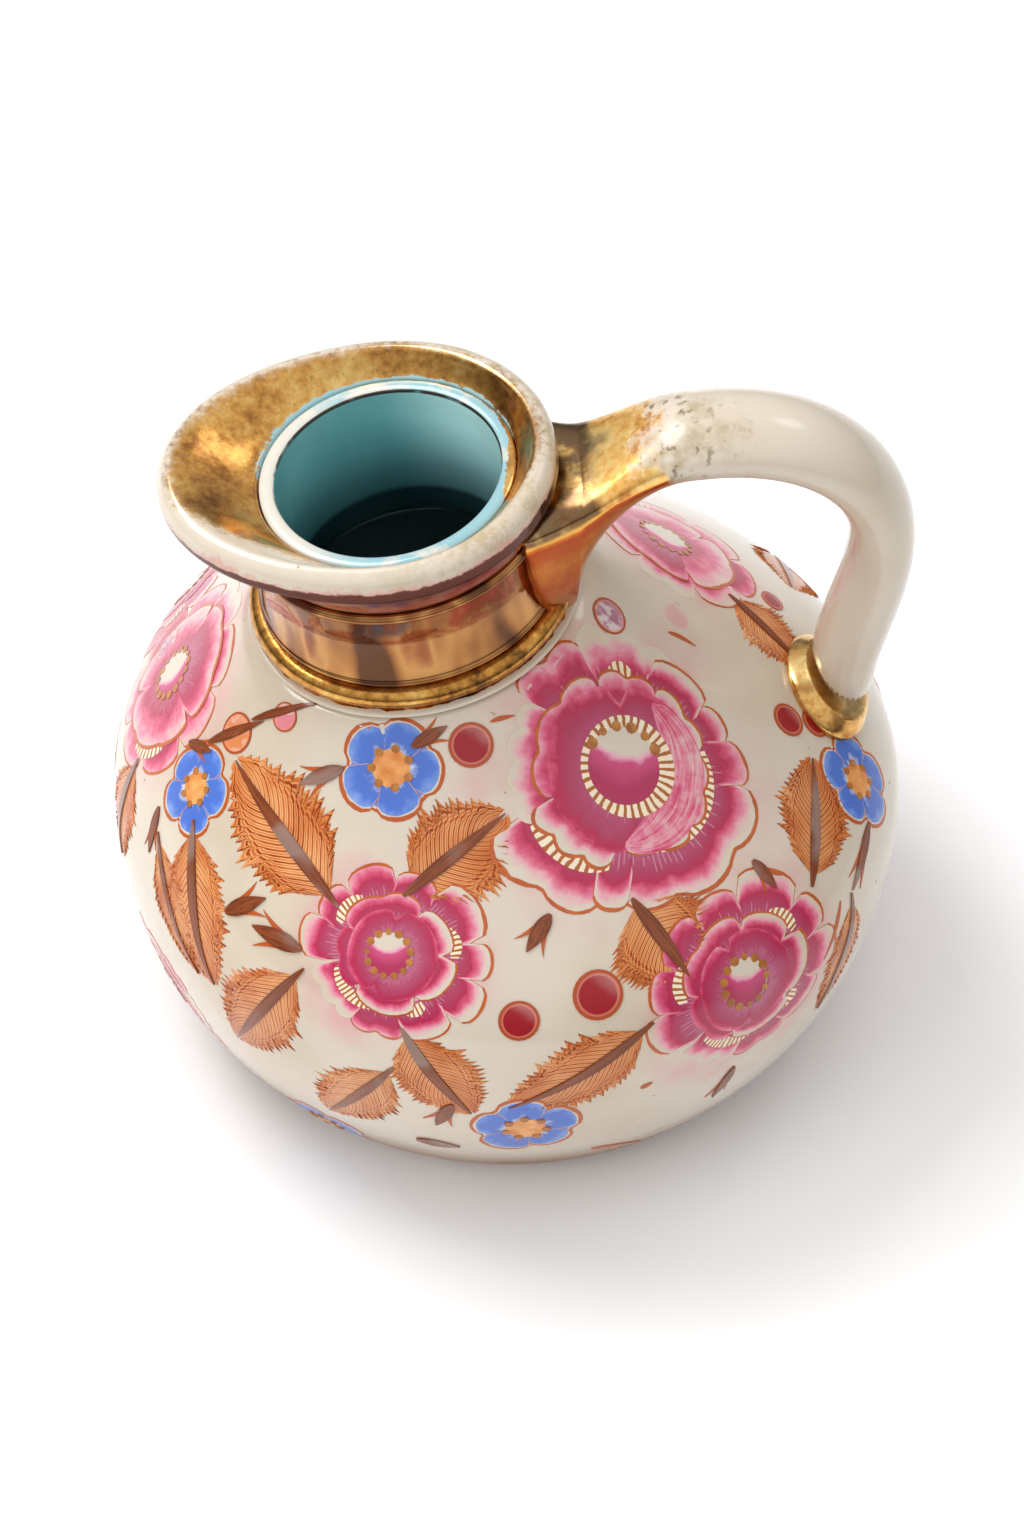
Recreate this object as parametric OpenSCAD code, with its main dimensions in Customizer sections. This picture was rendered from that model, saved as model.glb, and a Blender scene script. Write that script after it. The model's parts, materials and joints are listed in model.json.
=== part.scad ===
// Glazed ceramic ewer: a round pot with a leaning, off-centre neck, an almond-shaped pouring
// lip and a loop handle. Sizes are in millimetres. The foot stands on z = 0, the pot's axis is
// the Z axis, the spout points along -X and the handle stands on the +X side.

/* [Pot] */
// Diameter of the pot at its widest
body_d = 130; // [124:1:136]
// Height of the widest part above the table
widest_h = 43; // [41:0.5:46]
// Depth that the bowl's curve would have if the foot did not cut it off
bowl_depth = 63; // [58:0.5:70]
// Thickness of the wall
wall_t = 4; // [3:0.25:5]
// Thickness of the floor
floor_t = 4.5; // [3:0.25:6]

/* [Foot] */
// Height of the foot ring
foot_h = 2.5; // [1.5:0.25:4]
// Width of the foot ring
foot_w = 7; // [5:0.5:10]
// Size of the worn edge round the foot ring
foot_edge = 0.6; // [0.3:0.1:1]

/* [Neck] */
// Distance from the pot's axis to the middle of the neck's seat
neck_offset = 16; // [12:0.5:18]
// Height of the middle of the neck's seat above the table
neck_seat_h = 87.5; // [84:0.5:91]
// Angle by which the neck leans towards the spout
neck_lean = 9.5; // [6:0.5:12]
// Bore of the throat
throat_d = 35.8; // [33:0.2:37]
// Height of the throat's edge above the neck's seat
throat_h = 28; // [26:0.5:31]
// Wall of the liner that forms the throat
liner_t = 2.5; // [2:0.25:3]
// Wall of the neck round the liner, at the neck's ends
neck_t = 4; // [3:0.25:4.5]
// Depth of the hollow sweep between the neck's ends
neck_waist = 0.8; // [0.3:0.1:1.2]

/* [Bead] */
// How far the bead stands out of the neck's foot
bead_out = 2.4; // [1.5:0.1:3]
// Height of the bead above the neck's seat
bead_h = 4.5; // [3.5:0.25:6]

/* [Lip] */
// Radius of the lip's round back
lip_r = 26.8; // [26:0.1:28.5]
// Reach of the spout's tip from the throat's axis
lip_reach = 35.7; // [33:0.1:39]
// How far the lip rises from its back to the spout's tip
spout_rise = 3.2; // [2.4:0.1:4]
// Depth of the lip below the throat's edge
lip_depth = 7.5; // [6.5:0.25:9]
// Height of the lip's crest above the throat's edge
crest_h = 3.4; // [2.5:0.1:4.5]
// Height of the band round the lip's edge
band_h = 2.4; // [1.5:0.1:3]
// Width of the rounded shoulder from the band to the crest
crest_w = 2.8; // [2:0.1:3.5]
// How far the throat's edge stands above the dish round it
throat_step = 0.8; // [0.3:0.1:1.5]

/* [Handle] */
// Width of the handle, across the ewer
handle_w = 17; // [14:0.5:19]
// Thickness of the handle
handle_t = 10.5; // [9:0.25:12]
// Height of the handle's middle line where it leaves the root
handle_h = 121.4; // [118:0.2:125]
// Distance from the pot's axis to the handle's outermost middle line
handle_reach = 58.2; // [56:0.2:59.5]
// Height of the handle's outermost middle line
handle_bend_h = 97; // [93:0.5:101]
// Distance from the pot's axis to the end of the handle's root
root_end = 27; // [24:0.5:30]
// How far the root's ridge drops from the handle to the neck
root_drop = 9; // [6:0.5:11]
// Height of the collar at the handle's lower end
collar_h = 3; // [2.5:0.25:4]
// How far the collar stands out round the handle
collar_out = 1.8; // [1.2:0.1:2.4]

/* [Hidden] */

// Counts of facets and steps
round_sides = 72;
bowl_steps = 9;
shoulder_steps = 14;
inner_steps = 9;
curve_steps = 4;
handle_sides = 24;
handle_steps = 13;
root_steps = 7;

// Gap left where two clay pieces are luted together
lute_gap = 0.05;

body_r = body_d / 2;
foot_r = bowl_radius(0);
inner_r = body_r - wall_t;
inner_depth = bowl_depth - wall_t;
floor_h = foot_h + floor_t;

throat_r = throat_d / 2;
liner_r = throat_r + liner_t;
neck_r = liner_r + neck_t;
bead_r = neck_r + bead_out;
neck_h = throat_h - lip_depth;
seat_rise = neck_seat_h - widest_h;
liner_edge = liner_t / 2;

// Share of the shoulder's rise that is a plain dome; the rest sweeps up to the neck
dome_share = 0.57;
// Power of the sweep up to the neck
sweep_power = 2;
// Power that draws the lip's outline out to the spout
spout_power = 5.5;
// Power that keeps most of the lip's rise near the spout
rise_power = 3;
// Rise of the band's lower edge for each millimetre that the lip rises, so the band narrows
band_rise = 1.3;

// Lip heights, from the neck's seat
dish_h = throat_h - throat_step;
crest_top = throat_h + crest_h;
band_top = crest_top - crest_w;
band_low = band_top - band_h;
// Chamfer under the lip's band
lip_chamfer = 0.6;

// Where the handle's foot stands on the shoulder, as a share of the way from widest to neck
foot_share = 0.455;
foot_step_share = 0.01;
handle_foot = shoulder_point(0, foot_share);
foot_run = shoulder_point(0, foot_share + foot_step_share)
         - shoulder_point(0, foot_share - foot_step_share);
foot_slope = foot_run / norm(foot_run);
foot_normal = [foot_slope[2], 0, -foot_slope[0]];
handle_end = handle_foot + foot_normal * collar_h;
// Half of the handle's thickness, measured along the slanting seat
foot_half = handle_t / 2 / abs(foot_slope[0]);

// Control lengths of the handle's two curves, as shares of their own reach and drop
arch_share = 0.55;
arch_rise_share = 0.11;
bend_share = 0.7;
drop_share = 0.3;
arch_span = handle_reach - root_end;
arch_drop = handle_h - handle_bend_h;
leg_drop = handle_bend_h - handle_end[2];
arch_curve = [
    [root_end, handle_h],
    [root_end + arch_span * arch_share, handle_h + arch_drop * arch_rise_share],
    [handle_reach, handle_bend_h + arch_drop * bend_share],
    [handle_reach, handle_bend_h]
];
leg_curve = [
    [handle_reach, handle_bend_h],
    [handle_reach, handle_bend_h - leg_drop * drop_share],
    [handle_end[0], handle_end[2] + leg_drop * drop_share],
    [handle_end[0], handle_end[2]]
];
// Last part of the leg left out, so that its slanting end clears the ring before it
leg_share = 0.72;

// The root runs from the handle's upper end down the back of the neck to the bead
root_low = neck_seat_h;
root_back = -neck_offset + neck_r;
// Thickness of the web that the root leaves against the neck, above the bead
root_web = 1;
root_fillet = root_end - root_back - root_web;
// Crown of the root at the neck, as a share of the handle's thickness
root_crown_share = 0.15;
// Width of the root at the neck, as a share of the handle's width
root_width_share = 1.14;

// Radius of the bowl's outer curve at a height
function bowl_radius(z) = body_r * sqrt(1 - pow((widest_h - z) / bowl_depth, 2));

// One point of the shoulder: az goes round the pot, share goes from the widest part (0) to the
// neck's seat (1); wide is the radius at the widest part and seat the radius at the neck
function shell_point(az, share, wide, seat) =
    let (
        along = cos(90 * share),
        rise = sin(90 * share),
        seat_x = -neck_offset + seat * cos(az) * cos(neck_lean),
        seat_y = seat * sin(az),
        seat_z = seat_rise + seat * cos(az) * sin(neck_lean),
        lift = dome_share * rise + (1 - dome_share) * pow(1 - along, sweep_power)
    )
    [
        seat_x + (wide * cos(az) - seat_x) * along,
        seat_y + (wide * sin(az) - seat_y) * along,
        widest_h + seat_z * lift
    ];

function shoulder_point(az, share) = shell_point(az, share, body_r, bead_r);

function round_angles(count) = [for (i = [0 : count - 1]) 360 * i / count];
function mix(a, b, share) = a + (b - a) * share;
function ease(share) = share * share * (3 - 2 * share);
function bezier(c, t) =
    c[0] * pow(1 - t, 3) + 3 * c[1] * t * pow(1 - t, 2) + 3 * c[2] * t * t * (1 - t) + c[3] * pow(t, 3);
function bezier_run(c, t) =
    (c[1] - c[0]) * pow(1 - t, 2) + 2 * (c[2] - c[1]) * t * (1 - t) + (c[3] - c[2]) * t * t;

// A closed solid over a stack of rings with as many points each, with flat ends
module skin(rings) {
    count = len(rings[0]);
    last = len(rings) - 1;
    sides = [
        for (r = [0 : last - 1], i = [0 : count - 1])
        let (j = (i + 1) % count, low = r * count, high = low + count)
        each [[low + i, high + i, high + j], [low + i, high + j, low + j]]
    ];
    first_end = [for (i = [0 : count - 1]) i];
    last_end = [for (i = [count - 1 : -1 : 0]) last * count + i];
    polyhedron([for (ring = rings) each ring], concat(sides, [first_end, last_end]));
}

// A closed solid over a loop of rings, such as a ring with a changing section
module loop_skin(rings) {
    count = len(rings[0]);
    turns = len(rings);
    polyhedron(
        [for (ring = rings) each ring],
        [
            for (r = [0 : turns - 1], i = [0 : count - 1])
            let (j = (i + 1) % count, low = r * count, high = ((r + 1) % turns) * count)
            each [[low + i, high + i, high + j], [low + i, high + j, low + j]]
        ]
    );
}

module neck_frame() {
    translate([-neck_offset, 0, neck_seat_h]) rotate([0, -neck_lean, 0]) children();
}

function level_ring(r, z) = [for (az = round_angles(round_sides)) [r * cos(az), r * sin(az), z]];
function bowl_ring(angle, wide, depth) = level_ring(wide * cos(angle), widest_h - depth * sin(angle));
function shell_ring(share, wide, seat) =
    [for (az = round_angles(round_sides)) shell_point(az, share, wide, seat)];

module body() {
    bowl_angle = asin((widest_h - foot_h) / bowl_depth);
    floor_angle = asin((widest_h - floor_h) / inner_depth);
    outside = concat(
        [for (i = [0 : bowl_steps]) bowl_ring(bowl_angle * (1 - i / bowl_steps), body_r, bowl_depth)],
        [for (i = [1 : shoulder_steps]) shell_ring(i / shoulder_steps, body_r, bead_r)]
    );
    inside = concat(
        [for (i = [inner_steps : -1 : 1]) shell_ring(i / inner_steps, inner_r, throat_r)],
        [for (i = [0 : inner_steps]) bowl_ring(floor_angle * i / inner_steps, inner_r, inner_depth)]
    );
    color("ivory") skin(concat(outside, inside));
}

module foot_ring() {
    top_r = bowl_radius(foot_h);
    in_r = foot_r - foot_w;
    color("saddlebrown") rotate_extrude($fn = round_sides)
        polygon([
            [in_r, foot_edge],
            [in_r + foot_edge, 0],
            [foot_r - foot_edge, 0],
            [foot_r, foot_edge],
            [top_r, foot_h],
            [in_r, foot_h]
        ]);
}

// Outside of the neck from its seat to the lip, hollowed between its ends
function neck_outline(grow) = [
    for (i = [0 : 2 * curve_steps])
    let (t = i / (2 * curve_steps))
    [neck_r + grow - neck_waist * sin(180 * t), neck_h * t]
];

module neck() {
    color("peru") neck_frame() rotate_extrude($fn = round_sides)
        polygon(concat([[liner_r, 0]], neck_outline(0), [[liner_r, neck_h]]));
}

module throat_liner() {
    edge = [
        for (i = [0 : 2 * curve_steps])
        let (angle = 180 * i / (2 * curve_steps))
        [throat_r + liner_edge + liner_edge * cos(angle), throat_h - liner_edge + liner_edge * sin(angle)]
    ];
    color("mediumturquoise") neck_frame() rotate_extrude($fn = round_sides)
        polygon(concat([[throat_r, 0], [liner_r, 0]], edge));
}

// Outside of the bead, a half-round moulding that stands on the neck's seat
function bead_outline(grow) = [
    for (i = [0 : 2 * curve_steps])
    let (angle = -90 + 180 * i / (2 * curve_steps))
    [neck_r + grow + bead_out * cos(angle), bead_h / 2 + (bead_h / 2 + grow) * sin(angle)]
];

module neck_bead() {
    color("gold") neck_frame() rotate_extrude($fn = round_sides)
        difference() {
            polygon(concat([[liner_r, 0]], bead_outline(0), [[liner_r, bead_h]]));
            polygon(concat([[0, 0]], neck_outline(0), [[0, neck_h]]));
        }
}

// Share of the way round from the lip's back to the spout, which lies at az 180
function spout_share(az) = (1 - cos(az)) / 2;
// Distance from the throat's axis to the lip's edge, and how far the lip has risen there
function lip_edge(az) = mix(lip_r, lip_reach, pow(spout_share(az), spout_power));
function lip_lift(az) = spout_rise * pow(spout_share(az), rise_power);

// Section of the lip in radius and height: up the liner's side, over the dish, the crest and the
// band, and back under the lip to the neck
function band_foot(lift) = band_low + band_rise * lift;
function lip_under(edge, lift, grow) = [
    for (i = [0 : curve_steps])
    let (angle = 90 * i / curve_steps)
    [
        mix(neck_r, edge - lip_chamfer, 1 - cos(angle)) + grow,
        mix(neck_h, band_foot(lift) - lip_chamfer, sin(angle))
    ]
];
function lip_crest(edge, lift) = [
    for (i = [0 : curve_steps])
    let (angle = 90 * i / curve_steps)
    [edge - crest_w * (1 - cos(angle)), band_top + lift + crest_w * sin(angle)]
];
function lip_dish(edge, lift) = [
    for (i = [1 : curve_steps])
    let (t = i / curve_steps)
    [mix(edge - crest_w, liner_r + lute_gap, t), mix(crest_top + lift, dish_h, ease(t))]
];
function lip_section(edge, lift) = concat(
    [[liner_r + lute_gap, neck_h]],
    lip_under(edge, lift, 0),
    [[edge, band_foot(lift)]],
    lip_crest(edge, lift),
    lip_dish(edge, lift)
);

module pouring_lip() {
    rings = [
        for (az = round_angles(round_sides))
        [for (p = lip_section(lip_edge(az), lip_lift(az))) [p[0] * cos(az), p[0] * sin(az), p[1]]]
    ];
    color("goldenrod") neck_frame() loop_skin(rings);
}

// One oval ring of the handle: its middle, and the direction that the handle runs there
function handle_ring(middle, run) =
    let (way = run / norm(run))
    [
        for (a = round_angles(handle_sides))
        [
            middle[0] - way[1] * handle_t / 2 * sin(a),
            handle_w / 2 * cos(a),
            middle[1] + way[0] * handle_t / 2 * sin(a)
        ]
    ];

// The oval's place on the slanting seat at the foot of the handle, grown by a margin
function foot_oval(grow) = [
    for (a = round_angles(handle_sides))
    handle_end
        - foot_slope * (foot_half + grow) * sin(a)
        + [0, (handle_w / 2 + grow) * cos(a), 0]
];

module handle() {
    arch = [
        for (i = [0 : handle_steps])
        let (t = i / handle_steps, run = i == 0 ? [1, 0] : bezier_run(arch_curve, t))
        handle_ring(bezier(arch_curve, t), run)
    ];
    leg = [
        for (i = [1 : handle_steps])
        let (t = leg_share * i / handle_steps)
        handle_ring(bezier(leg_curve, t), bezier_run(leg_curve, t))
    ];
    color("linen") skin(concat(arch, leg, [foot_oval(0)]));
}

// The root's sections: x is the section's place, drop its share of the way down to the neck
function root_section(x, keel_low, drop) =
    let (
        ridge = handle_h - root_drop * ease(drop),
        crown = mix(handle_t / 2, handle_t * root_crown_share, ease(drop)),
        half_w = handle_w / 2 * mix(1, root_width_share, ease(drop))
    )
    [
        for (a = round_angles(handle_sides))
        [x, half_w * cos(a), ridge + (sin(a) > 0 ? crown : ridge - keel_low) * sin(a)]
    ];

module handle_root() {
    rings = [
        for (i = [0 : root_steps])
        let (angle = 90 * i / root_steps, x = root_end - root_fillet * sin(angle))
        root_section(
            x,
            mix(root_low, handle_h - handle_t / 2, cos(angle)),
            (root_end - x) / (root_end - root_back + neck_t)
        )
    ];
    inner_end = root_section(root_back - neck_t, root_low, 1);
    envelope = concat(
        [[0, -neck_h], [bead_r + lute_gap, -neck_h]],
        [for (p = bead_outline(lute_gap)) if (p[1] >= bead_h / 2) p],
        [for (p = neck_outline(lute_gap)) if (p[1] > bead_h) p],
        lip_under(lip_r, 0, lute_gap),
        [[lip_r + lute_gap, band_low], [lip_r + lute_gap, crest_top], [0, crest_top]]
    );
    color("darkgoldenrod") difference() {
        skin(concat(rings, [inner_end]));
        neck_frame() rotate_extrude($fn = round_sides) polygon(envelope);
    }
}

// The collar's footprint on the shoulder, as an oval of angles and shares
function collar_print(scale_share) =
    let (
        half_y = handle_w / 2 + collar_out,
        half_run = foot_half + collar_out,
        half_az = asin(half_y / handle_foot[0]),
        half_share = half_run * 2 * foot_step_share / norm(foot_run)
    )
    [
        for (a = round_angles(handle_sides))
        shoulder_point(half_az * scale_share * cos(a), foot_share - half_share * scale_share * sin(a))
            + foot_normal * lute_gap
    ];

module handle_collar() {
    print_shares = [0.3, 0.65, 1];
    low = collar_print(1);
    high = foot_oval(0);
    swell = foot_oval(collar_out);
    bulge = [
        for (i = [1 : curve_steps - 1])
        let (t = i / curve_steps, round_share = sin(90 * (1 - t)))
        [for (k = [0 : handle_sides - 1]) mix(mix(high[k], swell[k], round_share), low[k], 1 - t) ]
    ];
    color("goldenrod") skin(concat([for (s = print_shares) collar_print(s)], bulge, [high]));
}

body();
foot_ring();
neck();
throat_liner();
neck_bead();
pouring_lip();
handle();
handle_root();
handle_collar();
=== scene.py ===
# %% [markdown]
# This lesson dresses a small painted ewer. Its solids are already packed, and the frame holds them in
# place. The scene could start from an empty file, but then nothing would tie the looks to the solids.
# So the frame is loaded first.

# %% Load the solids as a fixed frame
import json
import math
import random

import bpy
from mathutils import Matrix, Vector


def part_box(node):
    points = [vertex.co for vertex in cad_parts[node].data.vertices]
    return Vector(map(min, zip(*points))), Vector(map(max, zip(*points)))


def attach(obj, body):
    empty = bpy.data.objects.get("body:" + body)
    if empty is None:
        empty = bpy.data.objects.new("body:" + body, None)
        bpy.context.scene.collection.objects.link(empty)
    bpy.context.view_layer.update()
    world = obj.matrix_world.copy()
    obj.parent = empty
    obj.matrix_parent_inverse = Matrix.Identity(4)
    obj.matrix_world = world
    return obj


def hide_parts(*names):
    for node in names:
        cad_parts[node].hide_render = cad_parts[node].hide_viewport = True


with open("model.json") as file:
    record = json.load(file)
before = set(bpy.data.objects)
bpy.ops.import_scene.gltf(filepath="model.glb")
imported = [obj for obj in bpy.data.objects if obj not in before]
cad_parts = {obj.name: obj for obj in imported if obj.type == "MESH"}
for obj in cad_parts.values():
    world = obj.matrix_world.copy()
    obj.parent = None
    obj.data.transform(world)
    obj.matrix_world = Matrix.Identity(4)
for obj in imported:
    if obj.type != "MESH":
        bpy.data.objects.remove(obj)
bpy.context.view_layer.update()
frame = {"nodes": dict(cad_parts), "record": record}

MM = 0.001

# %% [markdown]
# The ewer is a set of thrown and moulded clay pieces: a round pot, a leaning neck with its bead and
# lip, a liner in the throat, and a loop handle. Their sizes could be typed again here, but then the
# looks could drift away from the solids. So the radii, the lean and the heights are measured on the
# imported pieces, and only the shape values that no box can show are written down.

# %% Measure the neck and the pot
throat = next(mount for mount in frame["record"]["mounts"] if mount["name"] == "throat")
throat_r = throat["dims"]["r_mm"] * MM
neck_up = Vector(throat["axis"]).normalized()
neck_right = Vector((neck_up.z, 0, -neck_up.x))
neck_seat = Vector(throat["pos_m"]) - neck_up * throat["dims"]["length_mm"] * MM / 2


def half_width(node):
    """Half of a node's width across the ewer."""
    low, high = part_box(node)
    return (high.y - low.y) / 2


def farthest(node, direction):
    """How far a node reaches from the middle of the neck's seat, in one direction."""
    return max((vertex.co - neck_seat).dot(direction) for vertex in frame["nodes"][node].data.vertices)


pot_r = half_width("body")
liner_r = half_width("throat_liner")
neck_r = half_width("neck")
bead_r = half_width("neck_bead")
foot_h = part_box("foot_ring")[1].z
throat_h = farthest("throat_liner", neck_up)
neck_h = farthest("neck", neck_up)
bead_h = farthest("neck_bead", neck_up)
lip_points = [vertex.co - neck_seat for vertex in frame["nodes"]["pouring_lip"].data.vertices]
crest_h = max(point.dot(neck_up) for point in lip_points if point.dot(neck_right) > liner_r)
spout_rise = farthest("pouring_lip", neck_up) - crest_h
lip_back = farthest("pouring_lip", neck_right)
lip_reach = farthest("pouring_lip", -neck_right)
print("pot radius %.4f, throat height %.4f, lip reach %.4f" % (pot_r, throat_h, lip_reach))

# %% [markdown]
# The camera stands where the photographer stood: above and in front, turned a little to the left,
# with the picture rolled by two degrees. A long lens a short way off gives the same flattening. The
# same values also turn a pixel of the picture into a line of sight, which later finds the place of
# each painted flower on the pot.

# %% Set up the camera
PHOTO_W, PHOTO_H = 1024, 1536
focal_px = 5440
sensor_w = 36
view_distance = 900 * MM
view_target = Vector((0.69, 0, 44.91)) * MM
view_turn = math.radians(-5)
view_drop = math.radians(48.2)
view_roll = math.radians(2.2)

view_ahead = Vector((
    -math.sin(view_turn) * math.cos(view_drop),
    math.cos(view_turn) * math.cos(view_drop),
    -math.sin(view_drop),
))
level_right = Vector((math.cos(view_turn), math.sin(view_turn), 0))
level_up = level_right.cross(view_ahead)
view_right = level_right * math.cos(view_roll) + level_up * math.sin(view_roll)
view_up = level_up * math.cos(view_roll) - level_right * math.sin(view_roll)
view_place = view_target - view_ahead * view_distance

bpy.ops.object.camera_add(location=view_place)
camera = bpy.context.object
camera.name = "photo_camera"
camera.matrix_world = Matrix((
    (view_right.x, view_up.x, -view_ahead.x, view_place.x),
    (view_right.y, view_up.y, -view_ahead.y, view_place.y),
    (view_right.z, view_up.z, -view_ahead.z, view_place.z),
    (0, 0, 0, 1),
))
camera.data.sensor_width = sensor_w
camera.data.lens = focal_px * sensor_w / PHOTO_H
camera.data.clip_end = 20
bpy.context.scene.camera = camera
print("camera at", tuple(round(value, 3) for value in view_place))

# %% [markdown]
# A finish is a material with one shader. The ewer's finishes are all glaze, gilding or enamel, so
# they share a few helpers: one adds a node and fills its inputs, the others are short names for the
# nodes that are used most. Colours are given as a painter would read them off a colour chart, from
# 0 to 255, and turned into the linear values that the shader works in.

# %% Helpers for finishes
def tint(red, green, blue):
    """A linear colour from chart values of 0 to 255."""
    def linear(value):
        share = value / 255
        return share / 12.92 if share <= 0.04045 else ((share + 0.055) / 1.055) ** 2.4
    return (linear(red), linear(green), linear(blue), 1)


def put(tree, kind, inputs, **options):
    """Add a node, set its options, and fill its inputs with values or links."""
    node = tree.nodes.new("ShaderNode" + kind)
    for name, value in options.items():
        setattr(node, name, value)
    for name, value in inputs.items():
        if isinstance(value, bpy.types.NodeSocket):
            tree.links.new(value, node.inputs[name])
        else:
            node.inputs[name].default_value = value
    return node


def calc(tree, operation, first, second=0.0, third=0.0):
    return put(tree, "Math", {0: first, 1: second, 2: third}, operation=operation).outputs[0]


def fade(tree, value, start, stop):
    """Ease from 0 at start to 1 at stop."""
    inputs = {"Value": value, "From Min": start, "From Max": stop}
    return put(tree, "MapRange", inputs, interpolation_type="SMOOTHSTEP").outputs["Result"]


def blend(tree, factor, first, second):
    return put(tree, "Mix", {0: factor, 6: first, 7: second}, data_type="RGBA").outputs[2]


def ramp(tree, factor, stops, step=False):
    """A colour that changes along a value; stops are (place, colour)."""
    node = put(tree, "ValToRGB", {"Fac": factor})
    elements = node.color_ramp.elements
    while len(elements) < len(stops):
        elements.new(1)
    for element, (place, colour) in zip(elements, stops):
        element.position = place
        element.color = colour
    node.color_ramp.interpolation = "CONSTANT" if step else "LINEAR"
    return node.outputs["Color"]


def grain(tree, place, scale, detail=3.0, rough=0.5):
    inputs = {"Vector": place, "Scale": scale, "Detail": detail, "Roughness": rough}
    return put(tree, "TexNoise", inputs).outputs["Fac"]


def surface_place(tree):
    return put(tree, "TexCoord", {}).outputs["Object"]


MAP = "OFBake"


def map_place(tree):
    return put(tree, "UVMap", {}, uv_map=MAP).outputs["UV"]


def own_map(tree):
    """The two directions of a piece's own map: round or across it, and along it."""
    split = put(tree, "SeparateXYZ", {0: map_place(tree)})
    return split.outputs["X"], split.outputs["Y"]


def compass(tree, turn):
    """How far a share of a full turn points to the handle, and how far to the back."""
    angle = calc(tree, "MULTIPLY", turn, 2 * math.pi)
    return calc(tree, "COSINE", angle), calc(tree, "SINE", angle)


def finish(name, values):
    """A material with its shader, and the values that are the same all over it."""
    material = bpy.data.materials.new(name)
    material.use_nodes = True
    shader = material.node_tree.nodes["Principled BSDF"]
    for socket, value in values.items():
        shader.inputs[socket].default_value = value
    return material, material.node_tree, shader


def wire(tree, shader, **sockets):
    """Link what a finish worked out to its shader."""
    for name, value in sockets.items():
        tree.links.new(value, shader.inputs[name.replace("_", " ")])


def bump(tree, shader, height, strength, depth):
    inputs = {"Height": height, "Strength": strength, "Distance": depth}
    wire(tree, shader, Normal=put(tree, "Bump", inputs).outputs["Normal"])


IVORY = tint(208, 196, 179)
WARM_IVORY = tint(192, 172, 144)
GOLD = tint(226, 174, 98)
DEEP_GOLD = tint(168, 110, 54)
PALE_GOLD = tint(244, 212, 146)
COPPER = tint(176, 106, 62)
BURGUNDY_SHADE = tint(76, 36, 26)
UMBER = tint(70, 42, 22)
print("finish helpers ready")

# %% [markdown]
# Modelling by hand is a row of small steps: add a primitive, go into edit mode, select, run an
# operator, come back, and apply a modifier. An operator acts on all that is selected, so each helper
# clears the selection first and then selects its own piece.

# %% Helpers for modelling steps
def start_piece(name, add, **sizes):
    """Clear the selection, add a primitive and name it."""
    bpy.ops.object.select_all(action="DESELECT")
    add(**sizes)
    piece = bpy.context.object
    piece.name = name
    piece.data.name = name
    return piece


def in_edit(piece, *steps):
    """Run edit-mode steps on the whole piece."""
    bpy.ops.object.select_all(action="DESELECT")
    piece.select_set(True)
    bpy.context.view_layer.objects.active = piece
    bpy.ops.object.mode_set(mode="EDIT")
    bpy.ops.mesh.select_mode(type="VERT")
    bpy.ops.mesh.select_all(action="SELECT")
    for step in steps:
        step()
    bpy.ops.object.mode_set(mode="OBJECT")


def apply(piece, kind, **options):
    """Add a modifier with its options and apply it."""
    bpy.ops.object.select_all(action="DESELECT")
    piece.select_set(True)
    bpy.context.view_layer.objects.active = piece
    modifier = piece.modifiers.new(kind, kind)
    for name, value in options.items():
        setattr(modifier, name, value)
    bpy.ops.object.modifier_apply(modifier=modifier.name)


def close_ends():
    bpy.ops.mesh.select_all(action="DESELECT")
    bpy.ops.mesh.select_non_manifold()
    bpy.ops.mesh.fill_holes(sides=0)


def join_ends():
    bpy.ops.mesh.select_all(action="DESELECT")
    bpy.ops.mesh.select_non_manifold()
    bpy.ops.mesh.bridge_edge_loops()


def face_outwards():
    bpy.ops.mesh.select_all(action="SELECT")
    bpy.ops.mesh.normals_make_consistent(inside=False)


print("modelling helpers ready")

# %% [markdown]
# Every clay piece here is a stack of rings. A thrown pot is made that way too, and one helper can
# then skin them all: it adds a circle, extrudes it once for every further ring, and sets the points
# of each ring. Spinning a profile would be shorter, but the pot's shoulder, the lip and the handle
# are not round about one axis. The same rings give each piece its own map: round and along.

# %% Helpers for clay pieces
def map_rings(mesh, place, count, rises):
    """Give the mesh its own map from each point's place in its ring and the ring's rise."""
    layer = mesh.uv_layers[0] if mesh.uv_layers else mesh.uv_layers.new()
    layer.name = MAP
    for face in mesh.polygons:
        corners = [place[vertex] for vertex in face.vertices]
        wraps = max(turn for turn, _ in corners) - min(turn for turn, _ in corners) > 1
        for loop, (turn, ring) in zip(face.loop_indices, corners):
            share = count if wraps and turn == 0 else turn
            layer.data[loop].uv = (share / count, rises[ring])


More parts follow.
